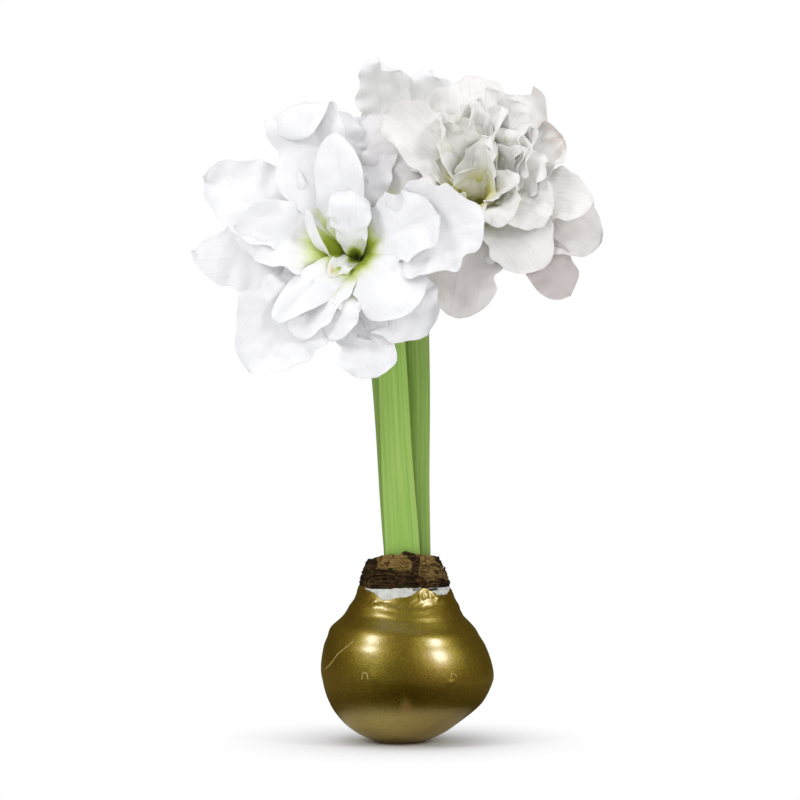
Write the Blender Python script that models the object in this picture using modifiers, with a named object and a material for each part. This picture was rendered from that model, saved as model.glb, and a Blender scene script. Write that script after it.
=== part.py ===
"""A waxed amaryllis: a bulb dipped in gold wax, with three flower stems and three double white blooms.

Metres, +Z up. The origin is the centre of the flat foot that the wax coat stands on. -Y is the front, the
side that two of the blooms face.
"""

import math
from typing import NamedTuple

import bmesh
import bpy
import numpy as np
from mathutils import Matrix, Vector

# Clearance between pieces that touch on the real plant
GAP = 0.0003

# The dipped bulb: (height, radius) from the foot's edge up to the top of the neck
SILHOUETTE = (
    (0.0000, 0.0130),
    (0.0050, 0.0242),
    (0.0118, 0.0335),
    (0.0220, 0.0428),
    (0.0340, 0.0476),
    (0.0440, 0.0476),
    (0.0560, 0.0442),
    (0.0660, 0.0382),
    (0.0740, 0.0316),
    (0.0800, 0.0284),
    (0.0870, 0.0256),
    (0.0930, 0.0238),
    (0.1000, 0.0214),
    (0.1080, 0.0184),
)
# (height, sideways shift) of the bulb's axis, which leans away from the foot
LEAN = (
    (0.000, 0.0000),
    (0.010, 0.0005),
    (0.022, 0.0031),
    (0.035, 0.0042),
    (0.050, 0.0030),
    (0.065, 0.0015),
    (0.080, 0.0028),
    (0.110, 0.0024),
)
BULB_SIDES = 28
# The bulb's round body: the height of its lowest row of points above the foot, and its number of rows
BODY_FOOT = 0.0040
BODY_ROWS = 9
COAT_WALL = 0.0020
COAT_WALL_AT_RIM = 0.0010
COAT_THINS = (0.0700, 0.0770)
COAT_RIM = 0.0840
BARE_WAX_HEIGHT = 0.0030
SKIN_WALL = 0.0009
SKIN_FOOT = 0.0798
OUTER_SKIN_TOP = 0.0975
INNER_SKIN_TOP = 0.1050
CORE_NECK = 0.0785
CORE_TOP = 0.1035
CORE_CROWN = 0.0010
# The crown's shoulder: its shares of the neck's radius and of the crown's height
CORE_SHOULDER = (0.55, 0.8)

# Stems
STEM_FOOT = 0.0700
STEM_NECK = 0.1070
HOLE_TOP = 0.1120
STEM_SIDES = 20
STEM_DOME = 0.0050
# The dome's round: shares of the stem's half-axes, and how far below the dome's top they lie
STEM_SHOULDER = ((0.62, 0.2), (0.90, 0.5))
STALK_RADIUS = 0.0040
# How far the stalk heads straight up from the stem, and straight towards the bloom, as it bends
STALK_RISE = 0.0220
STALK_REACH = 0.0160
STALK_STRAIGHT_END = 0.0040
STALK_ROWS = 8
# The ovary: its radius, its place along the stalk and how far it spreads, as shares of the stalk
OVARY_RADIUS = 0.0056
OVARY_PLACE = 0.84
OVARY_SPREAD = 0.20
BRACT_RING_WALL = 0.0009
BRACT_RING_HEIGHT = 0.0040

# Blooms: the (radius, height) profile of the funnel that the petals grow from, and the petals
FUNNEL = ((0, 0.0160), (0.0150, 0.0210), (0.0105, 0.0130), (0.0068, 0.0050), (0.0055, 0), (0, 0))
FUNNEL_SIDES = 12
PETAL_THICKNESS = 0.0008
# A petal starts this far from the bloom's axis if its throat angle is 60 degrees, else in proportion
PETAL_START_RADIUS = 0.0048
# The length of each petal that is grown together with the funnel and left out of its sheet
PETAL_FOOT = 0.0080
FLARE_LENGTH = 0.0900
CLAW_SHARE = 0.12
SWELL_POWER = 2.0
PETAL_TIP_WIDTH = 0.0016
# Petals from this length on have the finer of the two grids of (segments across, segments along)
LARGE_PETAL = 0.0720
LARGE_GRID = (3, 5)
SMALL_GRID = (2, 4)


class Stem(NamedTuple):
    """A flower stem: centres (x, y) and half-axes (x, y) of its oval at the neck and at its top."""

    neck_centre: tuple
    neck_half: tuple
    top_centre: tuple
    top_half: tuple
    top_height: float


class Petal(NamedTuple):
    """A petal, with its azimuth in degrees round the bloom's axis, counted from the bloom's right.

    throat, blade and tip are the angles between the axis and the midrib in the funnel, on the blade and at
    the tip; the last change of angle begins at the share bend of the length. cup is the arc that the blade's
    width bends through, edges towards the face. ruffle is the height of the waves on the edges, and waves is
    their number. twist turns the blade round its midrib and sway bends it sideways. The petal is widest at
    the share widest of its length, and a higher blunt gives it a broader tip. skew widens the side that lies
    counterclockwise of the midrib and narrows the other.
    """

    azimuth: float
    length: float
    width: float
    throat: float
    blade: float
    tip: float
    cup: float
    ruffle: float
    waves: float
    twist: float = 0
    sway: float = 0
    widest: float = 0.62
    blunt: float = 2.2
    bend: float = 0.62
    skew: float = 0


class Bloom(NamedTuple):
    """A bloom: the foot of its tube, the way that it faces, and its petals from the outer whorl inwards."""

    foot: tuple
    faces: tuple
    petals: tuple


STEMS = {
    "front": Stem((0.0011, -0.0084), (0.0096, 0.0059), (-0.0059, -0.0070), (0.0076, 0.0050), 0.236),
    "right": Stem((0.0104, 0.0032), (0.0066, 0.0050), (0.0094, 0.0030), (0.0070, 0.0052), 0.244),
    "back": Stem((-0.0026, 0.0084), (0.0065, 0.0048), (-0.0115, 0.0120), (0.0072, 0.0052), 0.240),
}

BLOOMS = {
    "front": Bloom(
        (-0.0220, -0.0130, 0.2700),
        (-0.16, -0.97, 0.17),
        (
            Petal(156, 0.104, 0.046, 50, 88, 94, 14, 0.004, 1.7, 8, blunt=1.8, skew=-0.15),
            Petal(179, 0.101, 0.047, 54, 96, 106, 10, 0.004, 2.1, -6, widest=0.55, blunt=1.2, skew=0.25),
            Petal(232, 0.101, 0.051, 50, 86, 90, 22, 0.004, 1.8, -8, widest=0.68, blunt=1.5, skew=-0.10),
            Petal(283, 0.086, 0.035, 50, 90, 98, 14, 0.004, 2.3, 6, widest=0.72, blunt=3.5, skew=-0.15),
            Petal(313, 0.075, 0.044, 50, 84, 96, 20, 0.004, 2.2),
            Petal(9, 0.094, 0.054, 42, 78, 86, 24, 0.005, 2.4, 6, blunt=1.8),
            Petal(57, 0.070, 0.040, 54, 100, 112, 12, 0.003, 2.0),
            Petal(85, 0.092, 0.040, 54, 101, 108, 12, 0.004, 2.1, -4),
            Petal(102, 0.094, 0.036, 56, 102, 112, 12, 0.004, 2.1, 4),
            Petal(104, 0.118, 0.044, 44, 86, -150, 10, 0.002, 1.6, widest=0.58, blunt=3, bend=0.8, skew=0.3),
            Petal(171, 0.080, 0.041, 42, 76, 84, 30, 0.003, 1.6, -10, blunt=1.5),
            Petal(98, 0.084, 0.032, 28, 70, 84, -22, 0.001, 1.2, blunt=1.8),
            Petal(228, 0.078, 0.023, 30, 72, 88, -20, 0.001, 1.2, blunt=1.6),
            Petal(241, 0.074, 0.028, 36, 78, 84, 24, 0.002, 1.2),
            Petal(262, 0.069, 0.030, 34, 74, 92, 20, 0.003, 1.8, 6),
            Petal(286, 0.068, 0.030, 38, 80, 92, 20, 0.003, 1.8, 6),
            Petal(314, 0.076, 0.042, 26, 66, 84, -28, 0.001, 1.0),
            Petal(86, 0.058, 0.025, 12, 42, 104, -30, 0.001, 1.4, 6, widest=0.85, blunt=4),
            Petal(206, 0.046, 0.010, 16, 40, 22, 30, 0.0, 1.0, 20, sway=-50),
            Petal(250, 0.044, 0.010, 20, 48, 30, 20, 0.0, 1.0),
        ),
    ),
    "right": Bloom(
        (0.0460, -0.0080, 0.2960),
        (-0.10, -0.88, 0.45),
        (
            Petal(98, 0.085, 0.045, 46, 88, 94, 18, 0.004, 1.8),
            Petal(66, 0.078, 0.042, 48, 88, 98, 16, 0.004, 2.1, 6),
            Petal(30, 0.068, 0.040, 38, 74, 84, 24, 0.004, 1.8, -6, blunt=1.8),
            Petal(9, 0.062, 0.034, 42, 84, 92, 20, 0.005, 2.6),
            Petal(-11, 0.077, 0.034, 46, 88, 92, 20, 0.003, 1.6),
            Petal(-22, 0.083, 0.042, 56, 104, 112, 10, 0.003, 1.9, 4),
            Petal(-48, 0.089, 0.025, 60, 112, 124, 12, 0.002, 1.6, widest=0.80, blunt=4),
            Petal(-53, 0.073, 0.040, 44, 92, 106, 24, 0.003, 1.6),
            Petal(-98, 0.084, 0.045, 58, 110, 118, 14, 0.003, 2.0, blunt=1.6),
            Petal(120, 0.076, 0.048, 58, 102, 110, 24, 0.003, 1.8, 6),
            Petal(141, 0.086, 0.040, 28, 58, 70, 30, 0.003, 1.7, -8, sway=12, skew=-0.20),
            Petal(-92, 0.061, 0.028, 46, 102, 112, 16, 0.003, 1.8, 8),
            Petal(-28, 0.064, 0.034, 30, 68, 84, 22, 0.004, 2.4, 8),
            Petal(86, 0.074, 0.036, 30, 62, 70, 50, 0.003, 1.9, 8),
            Petal(56, 0.071, 0.034, 28, 58, 66, 56, 0.003, 1.7, -10),
            Petal(152, 0.064, 0.034, 28, 56, 66, 36, 0.003, 1.6, -8),
            Petal(120, 0.066, 0.032, 22, 48, 60, 50, 0.003, 1.4, 24),
            Petal(64, 0.058, 0.028, 10, 26, 22, 60, 0.002, 1.4, -20),
            Petal(8, 0.062, 0.032, 24, 52, 62, 40, 0.003, 1.4, 18),
            Petal(-50, 0.058, 0.030, 22, 50, 60, 40, 0.002, 1.4, 8),
            Petal(-115, 0.052, 0.026, 20, 46, 60, 36, 0.002, 1.4, -12),
            Petal(184, 0.058, 0.030, 22, 48, 60, 40, 0.002, 1.4, 16),
        ),
    ),
    "back": Bloom(
        (0.0040, 0.0260, 0.2920),
        (-0.10, 0.86, 0.48),
        (
            Petal(18, 0.086, 0.044, 46, 86, 98, 16, 0.004, 2.0, 8),
            Petal(79, 0.1025, 0.036, 46, 86, 96, 22, 0.004, 2.0, -8, widest=0.72, blunt=3),
            Petal(136, 0.098, 0.048, 46, 86, 98, 16, 0.004, 2.0, 8),
            Petal(198, 0.090, 0.044, 46, 86, 98, 16, 0.004, 2.0, -8),
            Petal(258, 0.088, 0.046, 46, 86, 98, 16, 0.004, 2.0, 8),
            Petal(318, 0.084, 0.044, 46, 86, 98, 16, 0.004, 2.0, -8),
            Petal(50, 0.076, 0.038, 30, 70, 82, 24, 0.003, 1.8, 8),
            Petal(101, 0.094, 0.036, 44, 82, 92, 22, 0.003, 1.8, -8, widest=0.72, blunt=3),
            Petal(230, 0.076, 0.038, 30, 70, 82, 24, 0.003, 1.8, 8),
            Petal(350, 0.076, 0.038, 30, 70, 82, 24, 0.003, 1.8, -8),
            Petal(80, 0.054, 0.026, 14, 36, 40, 50, 0.002, 1.5, 12),
            Petal(200, 0.054, 0.026, 14, 36, 40, 50, 0.002, 1.5, 12),
            Petal(320, 0.054, 0.026, 14, 36, 40, 50, 0.002, 1.5, 12),
        ),
    ),
}

# Azimuths of the two bracts at each stem's top, clear of its flower stalk and of the other stems
BRACT_AZIMUTHS = {"front": (150, 330), "right": (80, 260), "back": (130, 200)}
BRACT = Petal(0, 0.030, 0.013, 8, 26, 44, 30, 0.001, 1.5, blunt=1.5)


# Meshes and materials


def clear_scene():
    for obj in list(bpy.data.objects):
        bpy.data.objects.remove(obj)


def new_collection(name):
    collection = bpy.data.collections.new(name)
    bpy.context.scene.collection.children.link(collection)
    return collection


def finish(name, colour, roughness, metallic=0.0):
    """A plain material of one colour."""
    material = bpy.data.materials.new(name)
    material.use_nodes = True
    shader = material.node_tree.nodes["Principled BSDF"]
    shader.inputs["Base Color"].default_value = (*colour, 1.0)
    shader.inputs["Roughness"].default_value = roughness
    shader.inputs["Metallic"].default_value = metallic
    return material


def merge_seams(work):
    """Joins the doubled points along seams and at poles, and turns every face outwards."""
    bmesh.ops.remove_doubles(work, verts=work.verts, dist=1e-6)
    bmesh.ops.recalc_face_normals(work, faces=work.faces)


def keep_largest_body(work):
    """Fills the small hollows that a union seals and drops its loose scraps, each a body of its own."""
    waiting = set(work.verts)
    bodies = []
    while waiting:
        body = [waiting.pop()]
        for vert in body:
            linked = {edge.other_vert(vert) for edge in vert.link_edges} & waiting
            waiting -= linked
            body.extend(linked)
        bodies.append(body)
    bodies.sort(key=len)
    small = [vert for body in bodies[:-1] for vert in body]
    bmesh.ops.delete(work, geom=small, context="VERTS")


def as_mesh(obj, mend=merge_seams):
    """Replaces an object by its finished shape, as a mesh of the same name and place."""
    bpy.context.view_layer.update()
    graph = bpy.context.evaluated_depsgraph_get()
    mesh = bpy.data.meshes.new_from_object(obj.evaluated_get(graph), depsgraph=graph)
    work = bmesh.new()
    work.from_mesh(mesh)
    mend(work)
    work.to_mesh(mesh)
    work.free()
    name, place, collections = obj.name, obj.matrix_world.copy(), list(obj.users_collection)
    bpy.data.objects.remove(obj)
    made = bpy.data.objects.new(name, mesh)
    made.matrix_world = place
    for collection in collections:
        collection.objects.link(made)
    return made


def points_of(obj):
    points = np.empty(len(obj.data.vertices) * 3, dtype=np.float32)
    obj.data.vertices.foreach_get("co", points)
    return points.reshape(-1, 3).astype(float)


def move_points(obj, points):
    obj.data.vertices.foreach_set("co", np.ascontiguousarray(points, dtype=np.float32).ravel())
    obj.data.update()


def turned(name, profile, sides, collection, closed=False):
    """A round body: a profile of (radius, height) points, from the top down, turned round Z."""
    count = len(profile)
    edges = [(i, i + 1) for i in range(count - 1)]
    if closed:
        edges.append((count - 1, 0))
    mesh = bpy.data.meshes.new(name)
    mesh.from_pydata([(radius, 0, height) for radius, height in profile], edges, [])
    obj = bpy.data.objects.new(name, mesh)
    collection.objects.link(obj)
    screw = obj.modifiers.new("Turn", "SCREW")
    screw.steps = screw.render_steps = sides
    screw.use_merge_vertices = True
    screw.merge_threshold = 1e-6
    return as_mesh(obj)


def fuse(obj, others):
    """Joins every object of the collection to obj by one union, and removes them and their collection."""
    union = obj.modifiers.new("Fuse", "BOOLEAN")
    union.operation = "UNION"
    union.operand_type = "COLLECTION"
    union.collection = others
    union.solver = "MANIFOLD"
    fused = as_mesh(obj, mend=keep_largest_body)
    for other in list(others.objects):
        bpy.data.objects.remove(other)
    bpy.data.collections.remove(others)
    return fused


def smooth_step(value, start, end):
    share = np.clip((value - start) / (end - start), 0, 1)
    return share * share * (3 - 2 * share)


# The dipped bulb


def silhouette_curve(inset):
    """The silhouette as a smooth curve through its stations, moved inwards by inset along its normals."""
    stations = np.array(SILHOUETTE)
    ends = 2 * stations[[0, -1]] - stations[[1, -2]]
    knots = np.vstack([ends[:1], stations, ends[1:]])
    step = np.linspace(0, 1, 16, endpoint=False)[:, None]
    runs = []
    for before, start, end, after in zip(knots[:-3], knots[1:-2], knots[2:-1], knots[3:]):
        runs.append(
            start
            + step * (end - before) / 2
            + step**2 * (before - 2.5 * start + 2 * end - after / 2)
            + step**3 * (1.5 * (start - end) + (after - before) / 2)
        )
    curve = np.vstack([*runs, stations[-1:]])
    height, radius = curve.T
    along = np.gradient(curve, axis=0)
    along /= np.linalg.norm(along, axis=1)[:, None]
    return radius - inset * along[:, 0], height + inset * along[:, 1]


def radius_at(height, inset=0.0):
    radius, heights = silhouette_curve(inset)
    return np.interp(height, heights, radius)


def stations_between(low, high, count):
    """Heights spaced evenly along the silhouette, so that walls that share them stay parallel."""
    radius, height = silhouette_curve(0.0)
    run = np.concatenate([[0], np.cumsum(np.hypot(np.diff(radius), np.diff(height)))])
    ends = np.interp((low, high), height, run)
    return np.interp(np.linspace(*ends, count), run, height)


def wall(inset, heights):
    """(radius, height) points of a wall that lies inset inside the silhouette."""
    return [(radius_at(height, inset), height) for height in heights]


def rim_wave(angle):
    """How far the torn upper edge of the gold coat rises and falls round the neck."""
    return 0.0016 * np.sin(3 * angle + 0.4) + 0.0012 * np.sin(5 * angle + 2.1) + 0.0007 * np.sin(8 * angle)


def bare_band(angle):
    """The height of bare wax that shows above the gold, round the neck."""
    return BARE_WAX_HEIGHT + 0.0012 * np.sin(2 * angle + 2.6) + 0.0010 * np.sin(7 * angle + 0.8)


def torn_edge(angle, reach, phase):
    """A ragged edge: three sine waves of falling height round the neck."""
    waves = np.sin(2 * angle + phase) + 0.7 * np.sin(5 * angle + 2 * phase) + 0.5 * np.sin(9 * angle - phase)
    return reach * waves / 2.2


def grow_to_bulb_form(obj, new_height):
    """Gives a turned wall the bulb's own form: its torn edges, its shallow lumps and the lean of its axis.

    new_height takes the points' angles and heights and gives the heights that they move to. A point keeps
    its distance inside the silhouette as it moves up or down.
    """
    x, y, height = points_of(obj).T
    radius, angle = np.hypot(x, y), np.arctan2(y, x)
    risen = new_height(angle, height)
    radius = np.where(radius > 1e-5, radius + radius_at(risen) - radius_at(height), radius)
    lumps = 0.010 * np.sin(2 * angle + 0.9) + 0.006 * np.sin(3 * angle + 55 * risen)
    radius = radius * (1 + lumps * smooth_step(risen, 0.004, 0.030))
    shift = np.interp(risen, *np.array(LEAN).T)
    move_points(obj, np.column_stack([radius * np.cos(angle) + shift, radius * np.sin(angle), risen]))


def make_wax_coat(collection):
    """The gold coat: a cup of wax from the flat foot to the torn rim, where its wall thins."""
    body = stations_between(BODY_FOOT, COAT_THINS[0], BODY_ROWS)
    rim = stations_between(COAT_THINS[1], COAT_RIM, 3)
    outer = wall(0.0, [0.0, *body, *rim])
    inner = [*wall(COAT_WALL, [COAT_WALL, *body]), *wall(COAT_WALL_AT_RIM, rim)]
    profile = [(0, COAT_WALL), *inner, *outer[::-1], (0, 0)]
    coat = turned("wax_coat", profile, BULB_SIDES, collection)

    def with_torn_rim(angle, height):
        return height + rim_wave(angle) * smooth_step(height, COAT_THINS[0], COAT_RIM)

    grow_to_bulb_form(coat, with_torn_rim)
    return coat


def make_bare_wax(collection):
    """The strip of bare pale wax between the gold's edge and the brown skins."""
    low, high = COAT_RIM + GAP, COAT_RIM + GAP + BARE_WAX_HEIGHT
    heights = stations_between(low, high, 2)
    profile = [*wall(0.0, heights)[::-1], *wall(COAT_WALL_AT_RIM, heights)]
    strip = turned("bare_wax", profile, BULB_SIDES, collection, closed=True)

    def between_torn_edges(angle, height):
        return low + rim_wave(angle) + bare_band(angle) * (height - low) / (high - low)

    grow_to_bulb_form(strip, between_torn_edges)
    return strip


def make_skin(name, layer, top, reach, phase, collection):
    """A dry papery skin round the neck, torn along its top, with its foot tucked behind the wax."""
    inset = COAT_WALL_AT_RIM + GAP + layer * (SKIN_WALL + GAP)
    heights = stations_between(SKIN_FOOT, top, 4)
    profile = [*wall(inset, heights)[::-1], *wall(inset + SKIN_WALL, heights)]
    skin = turned(name, profile, BULB_SIDES, collection, closed=True)

    def with_torn_top(angle, height):
        return height + torn_edge(angle, reach, phase) * (height - SKIN_FOOT) / (top - SKIN_FOOT)

    grow_to_bulb_form(skin, with_torn_top)
    return skin


def make_bulb(collection, cutters):
    """The bulb's flesh: its body inside the coat, and its neck with a plain hole for each stem."""
    inset = COAT_WALL + GAP
    body = wall(inset, [inset, *stations_between(BODY_FOOT, COAT_THINS[0], BODY_ROWS)])
    neck_inset = COAT_WALL_AT_RIM + 2 * (SKIN_WALL + GAP) + GAP
    neck = wall(neck_inset, stations_between(CORE_NECK, CORE_TOP, 4))
    shoulder = (CORE_SHOULDER[0] * neck[-1][0], CORE_TOP + CORE_SHOULDER[1] * CORE_CROWN)
    crown = [shoulder, (0, CORE_TOP + CORE_CROWN)]
    profile = [(0, inset), *body, *neck, *crown]
    bulb = turned("bulb", profile[::-1], BULB_SIDES, collection)
    grow_to_bulb_form(bulb, lambda angle, height: height)
    for name, stem in STEMS.items():
        hole = make_stem_bar(f"hole_{name}", stem, GAP, STEM_FOOT, HOLE_TOP, 0.0, cutters)
        hole.hide_render = True
        hole.display_type = "WIRE"
        cut = bulb.modifiers.new(f"Hole {name}", "BOOLEAN")
        cut.operation = "DIFFERENCE"
        cut.object = hole
    return bulb


# Petals


def half_width(along, side, petal):
    """Half of a petal's width along it: a narrow claw, a swell to the widest place and a rounded taper.

    The outline wobbles a little, and differently on its two sides (side is -1 or 1).
    """
    swell = np.sin(math.pi / 2 * np.clip(along / petal.widest, 0, 1)) ** SWELL_POWER
    past = np.clip((along - petal.widest) / (1 - petal.widest), 0, 1)
    taper = np.sqrt(1 - past**petal.blunt)
    shape = np.where(along < petal.widest, CLAW_SHARE + (1 - CLAW_SHARE) * swell, taper)
    phase = math.radians(petal.azimuth * 5)
    wobble = np.sin(9 * along + phase + 2 * side) + 0.7 * np.sin(17 * along - phase + 3 * side)
    shape = shape * (1 + 0.055 * wobble * smooth_step(along, 0.25, 0.5))
    shape = shape * (1 + petal.skew * side * smooth_step(along, 0.1, 0.5))
    return np.maximum(shape * petal.width, PETAL_TIP_WIDTH) / 2


def midrib(along, petal, start):
    """Distance from the axis, height and lean of the midrib, at each share along it from the radius start.

    It is the running sum of small steps, whose lean passes smoothly from nearly upright through the throat
    and blade angles to the tip's. The flare of a long petal takes no more length than a shorter one's.
    """
    share = np.linspace(0, 1, 201)
    flare = share * max(1.0, petal.length / FLARE_LENGTH)
    lean = np.radians(
        8
        + (petal.throat - 8) * smooth_step(flare, 0.0, 0.32)
        + (petal.blade - petal.throat) * smooth_step(flare, 0.22, 0.68)
        + (petal.tip - petal.blade) * smooth_step(share, petal.bend, 1.0)
    )
    step = petal.length / (len(share) - 1)
    out = start + np.concatenate([[0], np.cumsum(np.sin(lean)[:-1] * step)])
    up = np.concatenate([[0], np.cumsum(np.cos(lean)[:-1] * step)])
    return tuple(np.interp(along, share, values) for values in (out, up, lean))


def petal_surface(along, across, petal, start):
    """Points of a petal's middle surface in its bloom's own frame, whose axis is Z.

    along runs from 0 at the foot to 1 at the tip, and across from -1 to 1. Across the midrib lies an arc,
    which follows the tube's round at the foot and the petal's own cup further out. Waves that grow towards
    the edges, a twist and a sideways sway are added.
    """
    out, up, lean = midrib(along, petal, start)
    half = half_width(along, np.sign(across), petal)
    on_blade = smooth_step(along, 0.06, 0.45)
    bend = (1 - on_blade) / np.maximum(out, 1e-4) + on_blade * math.radians(petal.cup) / (petal.width / 2)
    bend = np.where(np.abs(bend) < 1e-3, 1e-3, bend)
    side = np.sin(bend * across * half) / bend
    rise = (1 - np.cos(bend * across * half)) / bend
    phase = math.radians(petal.azimuth * 2)
    wave = np.sin(2 * math.pi * petal.waves * along + phase + 1.7 * np.sign(across))
    rise = rise + petal.ruffle * np.abs(across) ** 1.6 * smooth_step(along, 0.25, 0.8) * wave

    turn = math.radians(petal.twist) * smooth_step(along, 0.2, 1.0)
    side, rise = side * np.cos(turn) - rise * np.sin(turn), side * np.sin(turn) + rise * np.cos(turn)
    side = side + math.tan(math.radians(petal.sway)) * petal.length * along**2 / 2

    outward, upward = out - rise * np.cos(lean), up + rise * np.sin(lean)
    azimuth = math.radians(petal.azimuth)
    return np.column_stack(
        [
            outward * math.cos(azimuth) - side * math.sin(azimuth),
            outward * math.sin(azimuth) + side * math.cos(azimuth),
            upward,
        ]
    )


def make_petal(name, petal, start, foot, collection):
    """A petal: a grid split into triangles, bent to the petal's surface and given its thickness.

    The sheet begins at the share foot of the petal's length.
    """
    across_segments, along_segments = LARGE_GRID if petal.length >= LARGE_PETAL else SMALL_GRID
    work = bmesh.new()
    bmesh.ops.create_grid(work, x_segments=across_segments, y_segments=along_segments, size=1)
    bmesh.ops.triangulate(work, faces=work.faces)
    mesh = bpy.data.meshes.new(name)
    work.to_mesh(mesh)
    work.free()
    obj = bpy.data.objects.new(name, mesh)
    collection.objects.link(obj)
    across, height, _ = points_of(obj).T
    along = foot + (1 - foot) * (height + 1) / 2
    move_points(obj, petal_surface(along, across, petal, start))
    thickness = obj.modifiers.new("Thickness", "SOLIDIFY")
    thickness.thickness = PETAL_THICKNESS
    thickness.offset = 0
    return as_mesh(obj)


# Stems and blooms


def stem_section(stem, height):
    """Centres and half-axes of a stem's oval at the given heights.

    The stem stands upright up to the bulb's neck, and from there it leans and narrows to its top.
    """
    share = np.clip((height - STEM_NECK) / (stem.top_height - STEM_NECK), 0, 1)[:, None]
    centre = (1 - share) * stem.neck_centre + share * stem.top_centre
    half = (1 - share) * stem.neck_half + share * stem.top_half
    return centre, half


def make_stem_bar(name, stem, grow, low, high, dome, collection):
    """An oval bar along a stem between two heights, with a domed end, grown outwards all round by grow."""
    shoulder = [(share, high - depth * dome) for share, depth in STEM_SHOULDER] if dome else []
    profile = [(0, high), *shoulder, (1, high - dome), (1, STEM_NECK), (1, low), (0, low)]
    bar = turned(name, profile, STEM_SIDES, collection)
    x, y, height = points_of(bar).T
    centre, half = stem_section(stem, height)
    move_points(bar, np.column_stack([centre + np.column_stack([x, y]) * (half + grow), height]))
    return bar


def make_stalk(name, stem, bloom, collection):
    """The flower's stalk with its ovary: a tube that bends from the stem's top to the foot of the bloom.

    It follows a cubic Bezier curve up to a short straight end, square to the bloom's foot.
    """
    out = Vector(bloom.faces).normalized()
    start = Vector((*stem.top_centre, stem.top_height - STEM_DOME))
    end = Vector(bloom.foot) - out * GAP
    joint = end - out * STALK_STRAIGHT_END
    rise = Vector((0, 0, STALK_RISE))
    handles = np.array([start, start + rise, joint - out * STALK_REACH, joint])
    share = np.linspace(0, 1, STALK_ROWS)[:, None]
    rest = 1 - share
    weights = np.hstack([rest**3, 3 * share * rest**2, 3 * share**2 * rest, share**3])
    places = np.vstack([weights @ handles, end])
    swelling = np.exp(-(((np.append(share, 1.1) - OVARY_PLACE) / OVARY_SPREAD) ** 2))
    curve = bpy.data.curves.new(name, "CURVE")
    curve.dimensions = "3D"
    curve.bevel_depth = STALK_RADIUS
    curve.bevel_resolution = 2
    curve.use_fill_caps = True
    spline = curve.splines.new("POLY")
    spline.points.add(STALK_ROWS)
    for point, place, swell in zip(spline.points, places, swelling):
        point.co = (*place, 1)
        point.radius = 1 + (OVARY_RADIUS / STALK_RADIUS - 1) * swell
    obj = bpy.data.objects.new(name, curve)
    collection.objects.link(obj)
    return as_mesh(obj)


def make_stem(name, collection):
    """A flower stem, with the stalk and ovary of its bloom, all one green piece."""
    stem = STEMS[name]
    foot = STEM_FOOT + GAP
    bar = make_stem_bar(f"stem_{name}", stem, 0.0, foot, stem.top_height, STEM_DOME, collection)
    stalks = new_collection("Stalks")
    make_stalk(f"stalk_{name}", stem, BLOOMS[name], stalks)
    return fuse(bar, stalks)


def make_bracts(name, collection):
    """The papery sheath at a stem's top: a thin ring round the stem with two pointed bracts."""
    stem = STEMS[name]
    top = stem.top_height - STEM_DOME
    foot = top - BRACT_RING_HEIGHT
    profile = [(2, top), (2, foot), (1, foot), (1, top)]
    ring = turned(f"bracts_{name}", profile, STEM_SIDES, collection, closed=True)
    x, y, height = points_of(ring).T
    radius = np.hypot(x, y)[:, None]
    centre, half = stem_section(stem, height)
    reach = half + GAP + BRACT_RING_WALL * (radius - 1)
    move_points(ring, np.column_stack([centre + np.column_stack([x, y]) / radius * reach, height]))

    blade_foot = top - BRACT_RING_HEIGHT / 2
    centre, half = stem_section(stem, np.array([blade_foot]))
    middle = half[0] + GAP + BRACT_RING_WALL / 2
    blades = new_collection("Bracts")
    for azimuth in BRACT_AZIMUTHS[name]:
        angle = math.radians(azimuth)
        start = 1 / math.hypot(math.cos(angle) / middle[0], math.sin(angle) / middle[1])
        blade = make_petal(f"bract_{azimuth}", BRACT._replace(azimuth=azimuth), start, 0.0, blades)
        blade.matrix_world = Matrix.Translation((*centre[0], blade_foot))
    return fuse(ring, blades)


def make_bloom(name, collection):
    """A bloom: all its petals fused to the short funnel that they grow from."""
    bloom = BLOOMS[name]
    funnel = turned(f"bloom_{name}", FUNNEL, FUNNEL_SIDES, collection)
    petals = new_collection("Petals")
    for number, petal in enumerate(bloom.petals):
        start = PETAL_START_RADIUS * petal.throat / 60
        make_petal(f"petal_{number}", petal, start, PETAL_FOOT / petal.length, petals)
    flower = fuse(funnel, petals)
    out = Vector(bloom.faces).normalized()
    right = Vector((0, 0, 1)).cross(out).normalized()
    turn = Matrix((right, out.cross(right), out)).transposed()
    flower.matrix_world = Matrix.Translation(bloom.foot) @ turn.to_4x4()
    return flower


def main():
    clear_scene()
    parts = new_collection("Waxed amaryllis")
    cutters = new_collection("Cutters")
    gold = finish("gold_wax", (0.30, 0.21, 0.03), 0.38, 1.0)
    pale_wax = finish("pale_wax", (0.50, 0.50, 0.46), 0.55)
    brown_skin = finish("brown_skin", (0.075, 0.040, 0.020), 0.80)
    tan_skin = finish("tan_skin", (0.30, 0.19, 0.08), 0.75)
    flesh = finish("bulb_flesh", (0.42, 0.36, 0.20), 0.70)
    green = finish("stem_green", (0.32, 0.50, 0.12), 0.45)
    papery = finish("bract_paper", (0.45, 0.40, 0.20), 0.70)
    white = finish("petal_white", (0.90, 0.90, 0.87), 0.55)

    pieces = [
        (make_wax_coat(parts), gold),
        (make_bare_wax(parts), pale_wax),
        (make_skin("outer_skin", 0, OUTER_SKIN_TOP, 0.0030, 0.6, parts), brown_skin),
        (make_skin("inner_skin", 1, INNER_SKIN_TOP, 0.0022, 2.4, parts), tan_skin),
        (make_bulb(parts, cutters), flesh),
        *[(make_stem(name, parts), green) for name in STEMS],
        *[(make_bracts(name, parts), papery) for name in STEMS],
        *[(make_bloom(name, parts), white) for name in BLOOMS],
    ]
    for obj, material in pieces:
        obj.data.materials.clear()
        obj.data.materials.append(material)


main()
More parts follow.
